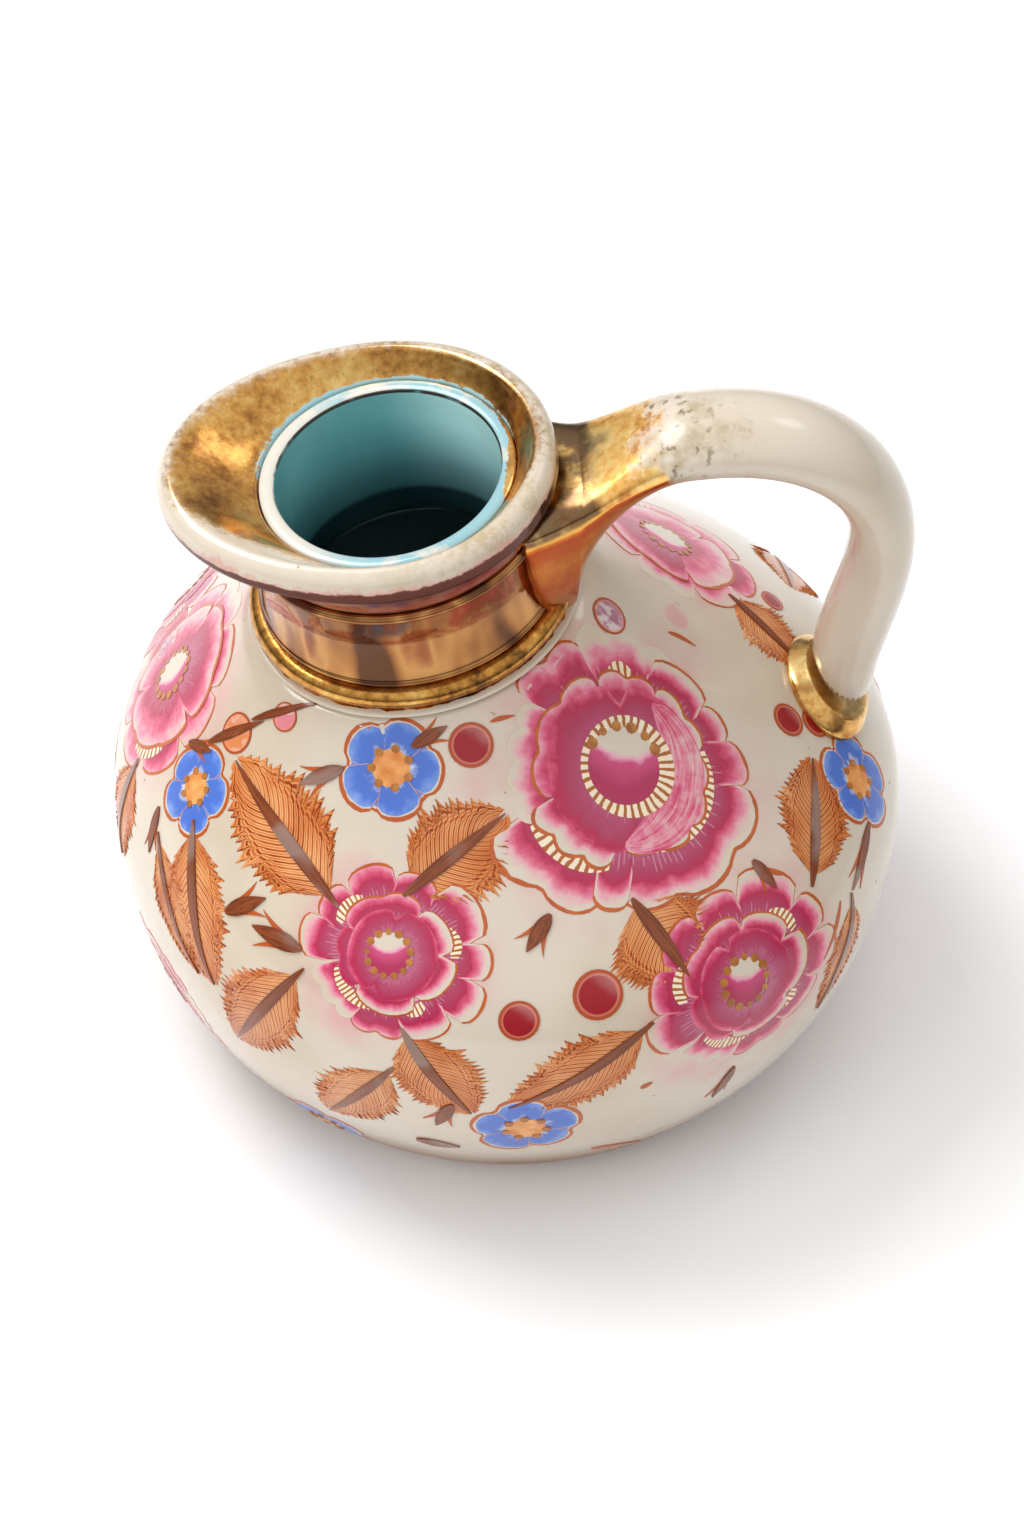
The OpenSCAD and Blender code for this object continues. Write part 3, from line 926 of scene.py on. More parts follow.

# %% [markdown]
# The lip wears four finishes in rings: copper lustre underneath, a burgundy band darkened with painted
# reflected shade, an ivory crest from which the gilding is rubbed off, and the gilt dish. They could be
# four materials, but their edges run into each other. The rises on the lip's own map say where each one
# starts, noise makes the edges ragged, and the front is worn farther down than the back.

# %% Finish of the lip
def lip_finish():
    """Lustre under the lip, a burgundy band of painted reflected shade, a worn ivory crest and a gilt dish.
    """
    material, tree, shader = finish("lip_lustre", {"Coat Weight": 0.3, "Coat Roughness": 0.05})
    place = surface_place(tree)
    turn, rise = own_map(tree)
    to_handle, to_back = compass(tree, turn)
    ragged = calc(tree, "MULTIPLY_ADD", grain(tree, place, 420, 5, 0.7), 0.16, -0.08)
    grainy = calc(tree, "MULTIPLY_ADD", grain(tree, place, 760, 3, 0.6), 0.14, -0.07)
    height = calc(tree, "ADD", rise, calc(tree, "MULTIPLY_ADD", grain(tree, place, 90, 3), 0.10, -0.05))
    height = calc(tree, "ADD", height, grainy)
    dish_tones = [tint(150, 94, 42), tint(208, 152, 74), tint(234, 194, 116)]
    gold, rough = gilt_tone(tree, place, 120, dish_tones)
    # Painted shade: the dark burgundy stops stand in for the shade that the lip's underside reflects.
    lustre = ramp(tree, rise, [
        (0.08, COPPER), (0.2, tint(150, 104, 96)), (0.38, BURGUNDY_SHADE), (0.5, tint(92, 44, 32)),
    ])
    rubbed = calc(tree, "MULTIPLY_ADD", fade(tree, to_handle, -0.5, 0.8), 0.65, 0.08)
    film_and_sheen = calc(tree, "MULTIPLY", fade(tree, grain(tree, place, 190, 6, 0.75), 0.42, 0.62), rubbed)
    crest = blend(tree, film_and_sheen, ivory_colour(tree, place), tint(172, 150, 106))
    blush = calc(tree, "MULTIPLY", fade(tree, height, 0.54, 0.49), 0.7)
    crest = blend(tree, blush, crest, tint(206, 142, 130))
    on_crest = fade(tree, calc(tree, "MULTIPLY_ADD", ragged, 0.6, rise), 0.480, 0.500)
    front = fade(tree, to_back, -0.1, -0.9)
    behind = fade(tree, to_back, -0.3, 0.7)
    on_dish = calc(tree, "MULTIPLY_ADD", behind, -0.03, calc(tree, "MULTIPLY_ADD", front, -0.25, height))
    on_dish = fade(tree, on_dish, 0.59, 0.69)
    smoked = calc(tree, "MULTIPLY", fade(tree, rise, 0.70, 0.62), 0.6)
    gold = blend(tree, smoked, gold, tint(150, 106, 66))
    glazed = calc(tree, "SUBTRACT", on_crest, on_dish)
    colour = blend(tree, on_dish, blend(tree, on_crest, lustre, crest), gold)
    splash = calc(tree, "MULTIPLY_ADD", behind, 0.045, calc(tree, "MULTIPLY_ADD", ragged, 0.9, rise))
    splash = fade(tree, splash, 0.975, 0.995)
    colour = blend(tree, splash, colour, tint(140, 182, 190))
    glazed = calc(tree, "MAXIMUM", glazed, splash)
    metal = calc(tree, "SUBTRACT", 1.0, glazed)
    wire(tree, shader, Base_Color=colour, Metallic=metal, Roughness=rough)
    gilt_grain(tree, shader, place)
    return material


print("lip finish ready")

# %% [markdown]
# The throat is glazed turquoise, with painted light that makes it pale on the handle's side and painted
# shade that makes it dark at its foot, where little light comes in. Its rim is rubbed pale, with a broken
# dark line below it and gilding left by the handle. The foot ring was wiped clean before the firing, so it
# is bare clay.

# %% Finishes of the throat and the foot
def throat_finish():
    """Turquoise down the throat, a pale rim, and a dark line where the two meet."""
    gloss = {"Roughness": 0.14, "Coat Weight": 0.4, "Coat Roughness": 0.04}
    material, tree, shader = finish("throat_glaze", gloss)
    place = surface_place(tree)
    turn, rise = own_map(tree)
    to_handle, to_back = compass(tree, turn)
    tone = grain(tree, place, 70, 4)
    wall_colour = ramp(tree, tone, [(0.3, tint(108, 176, 180)), (0.7, tint(130, 194, 196))])
    # Painted light: the wall is made pale on the handle's side, where light falls on it.
    lit_side = calc(tree, "MULTIPLY", fade(tree, to_handle, -0.1, 0.8), 0.95)
    wall_colour = blend(tree, lit_side, wall_colour, tint(206, 255, 255))
    # Painted shade: the wall darkens towards its foot, where little light comes in.
    depth = ramp(tree, rise, [
        (0.0, tint(44, 56, 60)), (0.10, tint(52, 64, 68)), (0.12, tint(128, 140, 144)),
        (0.2, tint(164, 174, 178)), (0.3, tint(220, 226, 228)), (0.4, tint(255, 255, 255)),
    ])
    layers = {0: 1.0, 6: wall_colour, 7: depth}
    wall_colour = put(tree, "Mix", layers, data_type="RGBA", blend_type="MULTIPLY").outputs[2]
    behind = fade(tree, to_back, -0.3, 0.7)
    spout_side = fade(tree, to_handle, -0.2, -0.8)
    ragged = calc(tree, "MULTIPLY_ADD", grain(tree, place, 420, 4, 0.65), 0.24, -0.12)
    on_rim = fade(tree, rise, 0.53, 0.55)
    pale = calc(tree, "MAXIMUM", spout_side, fade(tree, grain(tree, place, 190, 4), 0.52, 0.66))
    rim = blend(tree, pale, tint(140, 182, 190), tint(206, 202, 190))
    colour = blend(tree, on_rim, wall_colour, rim)
    line = calc(tree, "MULTIPLY", fade(tree, rise, 0.500, 0.515), fade(tree, rise, 0.590, 0.575))
    broken = fade(tree, grain(tree, place, 140, 2), 0.32, 0.44)
    far_side = fade(tree, to_back, -0.5, 0.1)
    line = calc(tree, "MULTIPLY", line, calc(tree, "MULTIPLY", broken, far_side))
    colour = blend(tree, line, colour, tint(44, 34, 24))
    edge = calc(tree, "MULTIPLY_ADD", behind, -0.16, calc(tree, "ADD", rise, ragged))
    front = fade(tree, to_back, -0.2, -0.8)
    edge = calc(tree, "MULTIPLY_ADD", calc(tree, "MAXIMUM", spout_side, front), -0.4, edge)
    metal = fade(tree, edge, 0.64, 0.66)
    gold, _ = gilt_tone(tree, place, 120, [DEEP_GOLD, GOLD, PALE_GOLD])
    wire(tree, shader, Base_Color=blend(tree, metal, colour, gold), Metallic=metal)
    return material


def clay_finish():
    material, tree, shader = finish("bare_clay", {"Roughness": 0.75})
    place = surface_place(tree)
    tone = grain(tree, place, 420, 4)
    wire(tree, shader, Base_Color=ramp(tree, tone, [(0.3, tint(112, 70, 36)), (0.7, tint(168, 118, 70))]))
    bump(tree, shader, tone, 0.3, 0.2 * MM)
    return material


print("throat and foot finishes ready")

# %% [markdown]
# Each clay piece now gets its finish. It rides on the ewer's one body and stands for the solid of the same
# form, which is then hidden.

# %% Dress the clay pieces
BEAD_TONES = [tint(112, 74, 30), tint(200, 140, 62), tint(234, 188, 104)]
dress(neck, neck_finish(), "neck")
dress(bead, gilt("bead_gilding", 90, BEAD_TONES, bead_wear), "neck_bead")
dress(lip, lip_finish(), "pouring_lip")
dress(liner, throat_finish(), "throat_liner")
dress(handle, handle_finish(), "handle")
dress(root, root_finish(), "handle_root")
dress(collar, gilt("collar_gilding", 120, [DEEP_GOLD, GOLD, PALE_GOLD]), "handle_collar")
dress(foot, clay_finish(), "foot_ring")
print("clay pieces dressed")

# %% [markdown]
# The painter laid the flowers out by eye. Here a mark is placed by a pixel of the photograph where
# one shows it, and by its direction and height on the pot's far side. Both ways send a line to the
# pot and put a small flat frame where it hits: a middle, and the right, up and outward directions.

# %% Find places on the pot
def spot(middle, normal, right):
    """A flat frame that touches the pot: its middle, right, up and outward directions."""
    right = (right - normal * right.dot(normal)).normalized()
    return middle, right, normal.cross(right), normal


def hit_pixel(across, down):
    """Where the line of sight through a pixel of the photograph meets the pot."""
    sight = view_ahead * focal_px + view_right * (across - PHOTO_W / 2) - view_up * (down - PHOTO_H / 2)
    found, middle, normal, _ = pot.ray_cast(view_place, sight.normalized())
    if not found:
        raise ValueError("pixel %s, %s misses the pot" % (across, down))
    return middle, normal


def hit_side(azimuth, height):
    """The pot's outside at a direction in degrees and a height in millimetres."""
    turn = math.radians(azimuth)
    outward = Vector((math.cos(turn), math.sin(turn), 0))
    start = outward * 2 * pot_r + Vector((0, 0, height * MM))
    _, middle, normal, _ = pot.ray_cast(start, -outward)
    return middle, normal


def at_pixel(across, down):
    middle, normal = hit_pixel(across, down)
    return spot(middle, normal, view_right)


def at_side(azimuth, height):
    middle, normal = hit_side(azimuth, height)
    return spot(middle, normal, Vector((0, 0, 1)).cross(normal))


def on_spot(place, across, along):
    middle, right, up, _ = place
    return middle + right * across + up * along


print("the pot's front at", tuple(round(value, 3) for value in hit_side(-90, 40)[0]))

# %% [markdown]
# The flowers are enamel, painted on the fired glaze and fired again, so they stand a hair proud of
# it. A picture could be wrapped round the pot, but it would blur close up. Here every brush mark is
# a small grid with its own map, bent into a petal or a leaf, laid on the pot by Shrinkwrap and given
# a little body by Solidify. The map of a mark is one tile of a sheet of six by six, and the finish
# can tell from the tile which kind of mark it colours.

# %% Helpers for brush marks
TILES = 6
tile_inset = 0.03


def brush_mark(columns, rows, place, tile=0, span=1.0):
    """A grid whose corners go where place(u, v) says; its map takes a span of one tile of the sheet."""
    bpy.ops.mesh.primitive_grid_add(x_subdivisions=columns, y_subdivisions=rows, size=1)
    mark = bpy.context.object
    for vertex in mark.data.vertices:
        vertex.co = place(vertex.co.x + 0.5, vertex.co.y + 0.5)
    column, row = tile % TILES, tile // TILES % TILES
    for corner in mark.data.uv_layers[0].data:
        across = mix(tile_inset, 1 - tile_inset, corner.uv.x * span)
        along = mix(tile_inset, 1 - tile_inset, corner.uv.y)
        corner.uv = ((column + across) / TILES, (row + along) / TILES)
    return mark


def join(name, marks):
    bpy.ops.object.select_all(action="DESELECT")
    for mark in marks:
        mark.select_set(True)
    bpy.context.view_layer.objects.active = marks[0]
    bpy.ops.object.join()
    piece = bpy.context.object
    piece.name = name
    piece.data.name = name
    return piece


enamel_sink = 0.12 * MM
weld = 0.002 * MM


def merge_points():
    bpy.ops.mesh.remove_doubles(threshold=weld)


def fire(name, marks, lift):
    """Lay joined brush marks on the pot at one height, and give them body."""
    layer = join(name, marks)
    in_edit(layer, merge_points)
    apply(layer, "SHRINKWRAP", target=pot, wrap_method="NEAREST_SURFACEPOINT",
          wrap_mode="ABOVE_SURFACE", offset=lift)
    apply(layer, "SOLIDIFY", thickness=lift + enamel_sink, offset=-1)
    in_edit(layer, face_outwards)
    return layer


def fire_piece(name, layers, material):
    """Fire every layer of a painted piece, join them, and let it ride on the ewer."""
    fired = [fire(name + "_layer", marks, lift) for lift, marks in sorted(layers.items()) if marks]
    piece = join(name, fired)
    piece.data.uv_layers[0].name = MAP
    bpy.ops.object.shade_smooth_by_angle(angle=math.radians(40))
    dress(piece, material)
    print(name, len(piece.data.polygons), "faces")
    return piece


print("brush-mark helpers ready")

# %% [markdown]
# All the enamels are glossy, and all of them are coloured from within a mark's own tile: from its
# base to its rim, or from one side to the other. So they share a helper that undoes the sheet, one
# that draws the streaks of a brush, and one that gives each row or column of the sheet a value.

# %% Helpers for enamels
def tile_map(tree):
    """A brush mark's own directions within its tile, and a chance value for the tile."""
    size = {0: map_place(tree), 1: (TILES, TILES, 1)}
    sheet = put(tree, "VectorMath", size, operation="MULTIPLY").outputs[0]
    inside = put(tree, "VectorMath", {0: sheet}, operation="FRACTION").outputs[0]
    inset = {"From Min": (tile_inset,) * 3, "From Max": (1 - tile_inset,) * 3, "Vector": inside}
    whole = put(tree, "MapRange", inset, data_type="FLOAT_VECTOR").outputs["Vector"]
    split = put(tree, "SeparateXYZ", {0: whole})
    cell = put(tree, "VectorMath", {0: sheet}, operation="FLOOR").outputs[0]
    chance = put(tree, "TexWhiteNoise", {"Vector": cell}).outputs["Value"]
    return split.outputs["X"], split.outputs["Y"], chance


def strokes(tree, across, along, chance, fine, long):
    """Streaks that run along a mark, as the hairs of a brush leave them."""
    where = put(tree, "CombineXYZ", {
        0: calc(tree, "MULTIPLY", across, fine),
        1: calc(tree, "MULTIPLY", along, long),
        2: calc(tree, "MULTIPLY", chance, 37.0),
    }).outputs[0]
    return grain(tree, where, 1.0, 3, 0.6)


def by_tile(tree, place, values):
    """A value for each row or column of the sheet."""
    stops = [(step / TILES, (value, value, value, 1)) for step, value in enumerate(values)]
    return ramp(tree, place, stops, step=True)


def enamel(name, gloss=0.35):
    coat = {"Coat Weight": 0.25, "Coat Roughness": 0.06}
    return finish(name, {"Roughness": 0.22, "Specular IOR Level": gloss, **coat})


print("enamel helpers ready")

# %% [markdown]
# A rose is painted from the outside in: broad scalloped petals, a tighter cup over them, a deep
# bowl, and a heart with dots or a cream ring. The ewer has three patterns of rose, and the painter
# repeated each with small changes. So each pattern is written down once, as a table of petals by
# angle and reach. A petal's kind says how it is coloured, and each kind has its row on the sheet.

# %% Plan the three rose patterns
PETAL_KINDS = ["edged", "flushed", "washed", "deep", "brushed", "bright"]
# Each petal: first and last angle in degrees, reach there as shares of the radius, scallops, kind
OPEN_ROSE = {
    "outer": [
        (58, 116, 0.90, 0.94, 3, "washed"), (37, 74, 0.92, 0.88, 1, "edged"),
        (18, 41, 0.85, 0.86, 1, "edged"), (-4, 22, 0.89, 0.86, 1, "flushed"),
        (-98, 0, 0.88, 0.97, 3, "edged"), (-107, -87, 0.93, 0.9, 1, "edged"),
        (-153, -99, 1.18, 0.98, 2, "edged"), (150, 214, 0.80, 0.82, 4, "washed"),
        (112, 153, 0.88, 0.91, 2, "flushed"),
    ],
    "middle": [
        (-156, -98, 0.75, 0.66, 3, "edged"), (-98, -38, 0.52, 0.61, 2, "edged"),
        (-40, 18, 0.61, 0.58, 2, "flushed"), (15, 68, 0.60, 0.65, 2, "edged"),
        (64, 113, 0.63, 0.64, 2, "flushed"), (111, 206, 0.66, 0.67, 3, "flushed"),
    ],
    "bowl": [
        (98, 278, 0.56, 0.56, 2, "deep"), (-92, 66, 0.55, 0.53, 2, "brushed"),
        (-82, 98, 0.54, 0.54, 2, "deep"),
    ],
    "ladders": [(-148, -100, 0.82, 0.71), (-80, 17, 0.58, 0.64), (84, 101, 0.69, 0.69)],
    "ring": True,
    "dots": (6, 0.42),
}
FULL_ROSE = {
    "outer": [
        (86, 126, 0.90, 0.90, 1, "flushed"), (52, 89, 0.84, 0.84, 1, "flushed"),
        (8, 54, 1.00, 0.98, 1, "edged"), (-18, 10, 0.99, 0.99, 1, "edged"),
        (-48, -16, 1.06, 1.04, 1, "edged"), (-86, -46, 0.92, 0.94, 1, "edged"),
        (-126, -82, 0.90, 0.90, 2, "flushed"), (-172, -122, 0.86, 0.86, 3, "washed"),
        (152, 186, 1.00, 0.96, 1, "edged"), (124, 156, 0.90, 0.90, 1, "flushed"),
    ],
    "middle": [
        (-2, 58, 0.64, 0.58, 1, "edged"), (-64, 0, 0.56, 0.72, 1, "edged"),
        (-142, -62, 0.58, 0.64, 1, "edged"), (146, 222, 0.56, 0.56, 2, "deep"),
        (54, 150, 0.60, 0.62, 2, "flushed"),
    ],
    "bowl": [
        (82, 240, 0.46, 0.46, 2, "deep"), (-120, 82, 0.45, 0.45, 2, "deep"),
    ],
    "ladders": [
        (118, 150, 0.70, 0.70), (194, 246, 0.66, 0.66), (-2, 26, 0.70, 0.68), (-80, -58, 0.64, 0.66),
    ],
    "ring": False,
    "dots": (13, 0.483),
}
SOFT_ROSE = {
    "outer": [
        (-20, 28, 0.92, 0.96, 1, "bright"), (26, 70, 0.96, 0.98, 1, "flushed"),
        (68, 112, 0.96, 0.92, 1, "bright"), (110, 158, 0.92, 0.96, 1, "edged"),
        (156, 204, 0.96, 0.94, 2, "washed"), (202, 250, 0.94, 0.96, 1, "bright"),
        (248, 296, 0.98, 0.94, 1, "flushed"), (294, 342, 0.94, 0.92, 1, "bright"),
    ],
    "middle": [],
    "bowl": [
        (-40, 84, 0.70, 0.74, 3, "bright"), (82, 204, 0.74, 0.70, 3, "flushed"),
        (202, 322, 0.70, 0.72, 3, "bright"),
    ],
    "ladders": [(10, 50, 0.80, 0.80)],
    "ring": False,
    "dots": (15, 0.419),
}
for name, pattern in (("open", OPEN_ROSE), ("full", FULL_ROSE), ("soft", SOFT_ROSE)):
    print(name, "rose:", sum(len(pattern[layer]) for layer in ("outer", "middle", "bowl")), "petals")

# %% [markdown]
# Each petal is a grid in polar form, so its map runs from the base to the rim, whatever its shape. A
# petal's rim could be a plain arc, but the painted ones are scalloped, so it is drawn in between the
# scallops. Rings, discs and ladders of short strokes are the same kind of grid. Enamel was laid on in
# turn, so each layer is lifted a little higher than the one that it covers.

# %% Petals, rings and ladders
lifts = {"leaf": 0.04 * MM, "outer": 0.06 * MM, "ladder": 0.10 * MM, "middle": 0.12 * MM,
         "bowl": 0.17 * MM, "band": 0.21 * MM, "heart": 0.25 * MM, "dot": 0.3 * MM}
overlap_step = 0.02 * MM


def petal_rim(share, scallops, notch):
    """A petal's reach across it: full on each scallop, drawn in between them and at its ends."""
    wave = abs(math.sin(math.pi * scallops * share)) ** 0.55
    return 1 - notch * (1 - wave) - 0.5 * notch * abs(2 * share - 1) ** 6


full_span = math.radians(216)
corner_share = 0.35
crescent_share = 0.85


def petal(place, start, sweep, inner, reaches, scallops, notch, tile, crescent=0.0):
    """One petal; start and sweep are angles, reaches those of its ends; a crescent thins to them."""
    span = 1.0 if crescent else sweep / full_span

    def point(across, out):
        turn = start - sweep * across
        rim = mix(*reaches, across) * petal_rim(across, scallops, notch)
        rounded = 1 - corner_share * abs(2 * across - 1) ** (12 * scallops)
        base = mix(inner, rim, crescent * (1 - math.sin(math.pi * across) ** 0.6))
        reach = mix(base, rim, out * rounded)
        return on_spot(place, reach * math.cos(turn), reach * math.sin(turn))
    return brush_mark(9 * scallops + 1, 10, point, tile, span)


def ring_mark(place, heart, inner, outer, start=0.0, sweep=2 * math.pi, columns=36, tile=0):
    """A ring, a part of one, or a disc, about a heart point."""
    def point(across, out):
        turn = start - sweep * across
        reach = mix(inner, outer, out)
        return on_spot(place, heart[0] + reach * math.cos(turn), heart[1] + reach * math.sin(turn))
    return brush_mark(columns, 3, point, tile)


def ladder_arc(place, reaches, width, start, sweep):
    """A band round a part of the rose, drawn in towards both its ends."""
    def point(across, out):
        turn = start - sweep * across
        taper = math.sin(math.pi * mix(0.1, 0.9, across)) ** 0.5
        reach = mix(*reaches, across) - width * (1 - out * taper)
        return on_spot(place, reach * math.cos(turn), reach * math.sin(turn))
    return brush_mark(16, 3, point, 1, sweep / full_span)


print(len(lifts), "heights of enamel, up to", max(lifts.values()) / MM, "mm")

# %% [markdown]
# Now the roses are laid out: each by its place, its radius in millimetres, its pattern, the size of
# its heart and the angle it is turned by. A little luck from a seed of its own varies the petals of
# each rose, so that two roses of one pattern differ as they would by hand, and each run is the same.

# %% Lay out the roses
LAYER_ROOTS = {"outer": 0.5, "middle": 0.3, "bowl": 0.2}
NOTCHES = {"outer": 0.10, "middle": 0.10, "bowl": 0.05}
ladder_share = 0.13
petal_layers, ladder_layers, heart_layers, dot_layers = {}, {}, {}, {}
washes = []


def lay(layers, lift, mark):
    layers.setdefault(lift, []).append(mark)


def paint_rose(place, radius, pattern, heart_share, lean, seed):
    """Lay the marks of one rose; lean turns its pattern, and the seed varies its petals."""
    luck = random.Random(seed)
    washes.append((place[0], radius))
    for layer, root in LAYER_ROOTS.items():
        for number, (first, last, first_reach, last_reach, scallops, kind) in enumerate(pattern[layer]):
            tile = TILES * PETAL_KINDS.index(kind) + luck.randrange(TILES)
            grow = radius * luck.uniform(0.98, 1.02)
            start, sweep = math.radians(last + lean), math.radians(last - first)
            reaches = (last_reach * grow, first_reach * grow)
            crescent = crescent_share if kind == "brushed" else 0.0
            notch = NOTCHES[layer]
            mark = petal(place, start, sweep, radius * root, reaches, scallops, notch, tile, crescent)
            lay(petal_layers, lifts[layer] + overlap_step * (number % 2), mark)
    for first, last, first_reach, last_reach in pattern["ladders"]:
        start, sweep = math.radians(last + lean), math.radians(last - first)
        reaches = (last_reach * radius, first_reach * radius)
        lay(ladder_layers, lifts["ladder"], ladder_arc(place, reaches, radius * ladder_share, start, sweep))
    heart = (-0.03 * radius, 0.01 * radius)
    if pattern["ring"]:
        ring = ring_mark(place, (0, heart[1]), radius * heart_share * 0.8, radius * heart_share * 1.32)
        lay(ladder_layers, lifts["band"], ring)
    heart_tile = 0 if pattern["middle"] else 1
    lay(heart_layers, lifts["heart"], ring_mark(place, heart, 0, radius * heart_share, tile=heart_tile))
    dots, spread = pattern["dots"]
    for step in range(dots):
        turn = math.pi / 2 + (step - (dots - 1) / 2) * spread
        reach = radius * heart_share * 1.02
        middle = (heart[0] + reach * math.cos(turn), heart[1] + reach * math.sin(turn))
        size = radius * luck.uniform(0.028, 0.042)
        lay(dot_layers, lifts["dot"], ring_mark(place, middle, 0, size, columns=8))


ROSES_SEEN = [
    ((628, 768), 25.6, OPEN_ROSE, 0.245, 0),
    ((392, 955), 16.4, FULL_ROSE, 0.21, 0),
    ((748, 982), 20.0, FULL_ROSE, 0.20, 38),
    ((176, 672), 19.0, SOFT_ROSE, 0.22, 200),
    ((668, 540), 18.0, SOFT_ROSE, 0.24, 90),
]
ROSES_BEHIND = [
    ((100, 44), 20.0, OPEN_ROSE, 0.24, 30), ((52, 34), 16.0, FULL_ROSE, 0.22, 100),
    ((148, 56), 17.0, FULL_ROSE, 0.22, 250), ((205, 22), 14.0, FULL_ROSE, 0.21, 170),
    ((2, 27), 14.0, SOFT_ROSE, 0.22, 300),
]
for number, (pixel, radius, *pattern) in enumerate(ROSES_SEEN):
    paint_rose(at_pixel(*pixel), radius * MM, *pattern, number)
for number, (side, radius, *pattern) in enumerate(ROSES_BEHIND):
    paint_rose(at_side(*side), radius * MM, *pattern, len(ROSES_SEEN) + number)
print(len(washes), "roses laid out")
# A small smear of pink lies below the rose by the handle
smear_place, smear_r = at_pixel(676, 616)[0], 2.4 * MM
washes.append((smear_place, smear_r))

# %% [markdown]
# A petal is mauve at its base, with fine lines scratched into the wet enamel, then crimson, and pale
# towards the rim, where the glaze is left bare inside a rust outline. One ramp from base to rim holds
# these colours. The kinds of petal shift and stretch the ramp, and noise blurs it like a soft brush.

# %% Enamel of the rose petals
RUST = tint(178, 84, 32)


def by_kind(tree, values):
    """A value for each kind of petal, in the order of PETAL_KINDS, from its row on the sheet."""
    _, row = own_map(tree)
    return by_tile(tree, row, values)


SCRATCHES = 64
MAUVE, DEEP_PINK, CRIMSON = tint(174, 80, 112), tint(168, 54, 88), tint(174, 36, 74)
ROSE_PINK, SHELL_PINK = tint(204, 76, 112), tint(224, 148, 166)


def scratches(tree, across, out, chance):
    """Fine pale lines that a needle drew out from a petal's base, each of its own length."""
    lane = calc(tree, "MULTIPLY", across, SCRATCHES)
    where = put(tree, "CombineXYZ", {0: calc(tree, "FLOOR", lane), 1: chance}).outputs[0]
    luck = put(tree, "TexWhiteNoise", {"Vector": where}).outputs["Value"]
    aside = calc(tree, "ABSOLUTE", calc(tree, "SUBTRACT", calc(tree, "FRACT", lane), 0.5))
    line = fade(tree, aside, 0.17, 0.07)
    tip = calc(tree, "MULTIPLY_ADD", luck, 0.30, 0.14)
    return calc(tree, "MULTIPLY", line, fade(tree, calc(tree, "SUBTRACT", out, tip), 0.04, -0.04))


def rose_enamel():
    """Mauve at a petal's base, a crimson band round its middle, then bare glaze and a rust rim."""
    material, tree, shader = enamel("rose_enamel")
    across, out, chance = tile_map(tree)
    place = surface_place(tree)
    streak = strokes(tree, across, out, chance, 40.0, 1.2)
    swept = strokes(tree, across, out, chance, 5.0, 16.0)
    cloud = calc(tree, "MULTIPLY_ADD", grain(tree, place, 130, 3), 0.34, -0.17)
    soft = calc(tree, "MULTIPLY_ADD", grain(tree, place, 520, 3, 0.6), 0.14, -0.07)
    shift = calc(tree, "ADD", cloud, calc(tree, "MULTIPLY_ADD", streak, 0.10, soft))
    shift = calc(tree, "MULTIPLY_ADD", chance, 0.08, calc(tree, "ADD", shift, -0.09))
    brushed = calc(tree, "MULTIPLY_ADD", swept, 0.5, -0.25)
    shift = calc(tree, "MULTIPLY_ADD", brushed, by_kind(tree, [0.1, 0.1, 0.1, 0.2, 0.9, 0.1]), shift)
    level = calc(tree, "MULTIPLY_ADD", out, by_kind(tree, [1.0, 0.68, 0.62, 0.62, -0.14, 0.42]), shift)
    level = calc(tree, "ADD", level, by_kind(tree, [0.0, 0.12, 0.34, 0.0, 0.72, 0.42]))
    aside = calc(tree, "ABSOLUTE", calc(tree, "MULTIPLY_ADD", across, 2.0, -1.0))
    ends = by_kind(tree, [0.0, 0.0, 0.0, 0.0, -0.4, 0.0])
    level = calc(tree, "MULTIPLY_ADD", fade(tree, aside, 0.35, 1.0), ends, level)
    colour = ramp(tree, level, [
        (0.10, MAUVE), (0.40, DEEP_PINK), (0.53, CRIMSON), (0.62, ROSE_PINK), (0.76, SHELL_PINK),
    ])
    needle = calc(tree, "MULTIPLY", scratches(tree, across, out, chance), 0.34)
    colour = blend(tree, needle, colour, tint(222, 182, 196))
    bare = fade(tree, level, 0.68, 0.90)
    colour = blend(tree, bare, colour, ivory_colour(tree, place))
    width = calc(tree, "MULTIPLY_ADD", grain(tree, place, 240, 2), 0.10, 0.885)
    line = fade(tree, calc(tree, "SUBTRACT", out, width), -0.008, 0.008)
    line = calc(tree, "MULTIPLY", line, by_kind(tree, [1.0, 1.0, 0.0, 0.0, 0.0, 1.0]))
    rust = blend(tree, grain(tree, place, 400, 2), tint(150, 62, 20), tint(206, 108, 50))
    wire(tree, shader, Base_Color=blend(tree, line, colour, rust))
    bump(tree, shader, streak, 0.12, 0.05 * MM)
    return material


fire_piece("rose_petals", petal_layers, rose_enamel())

# %% [markdown]
# In the middle of a rose, short rust strokes cross a cream band like the rungs of a ladder. A sine
# along the band draws them, and noise makes them uneven. The heart is a disc, magenta below and white
# above, with a bowed edge between. The brown dots about it wait for those of the blue flowers.

# %% Enamel of the rose hearts
def ladder_enamel():
    """Cream with short rust strokes across it; a full ring has more of them than an arc."""
    material, tree, shader = enamel("ladder_enamel")
    across, _, _ = tile_map(tree)
    place = surface_place(tree)
    column, _ = own_map(tree)
    ring = calc(tree, "LESS_THAN", column, 1 / TILES)
    beats = calc(tree, "MULTIPLY_ADD", ring, -14.0, 48.0)
    wobble = calc(tree, "MULTIPLY_ADD", grain(tree, place, 300, 2), 0.02, across)
    _, beat = compass(tree, calc(tree, "MULTIPLY", wobble, beats))
    uneven = calc(tree, "MULTIPLY_ADD", grain(tree, place, 500, 2), 1.2, -0.6)
    bars = fade(tree, calc(tree, "ADD", beat, uneven), 0.1, 0.4)
    cream = blend(tree, grain(tree, place, 200, 2), tint(242, 230, 204), tint(230, 206, 178))
    wire(tree, shader, Base_Color=blend(tree, bars, cream, tint(164, 96, 40)))
    return material


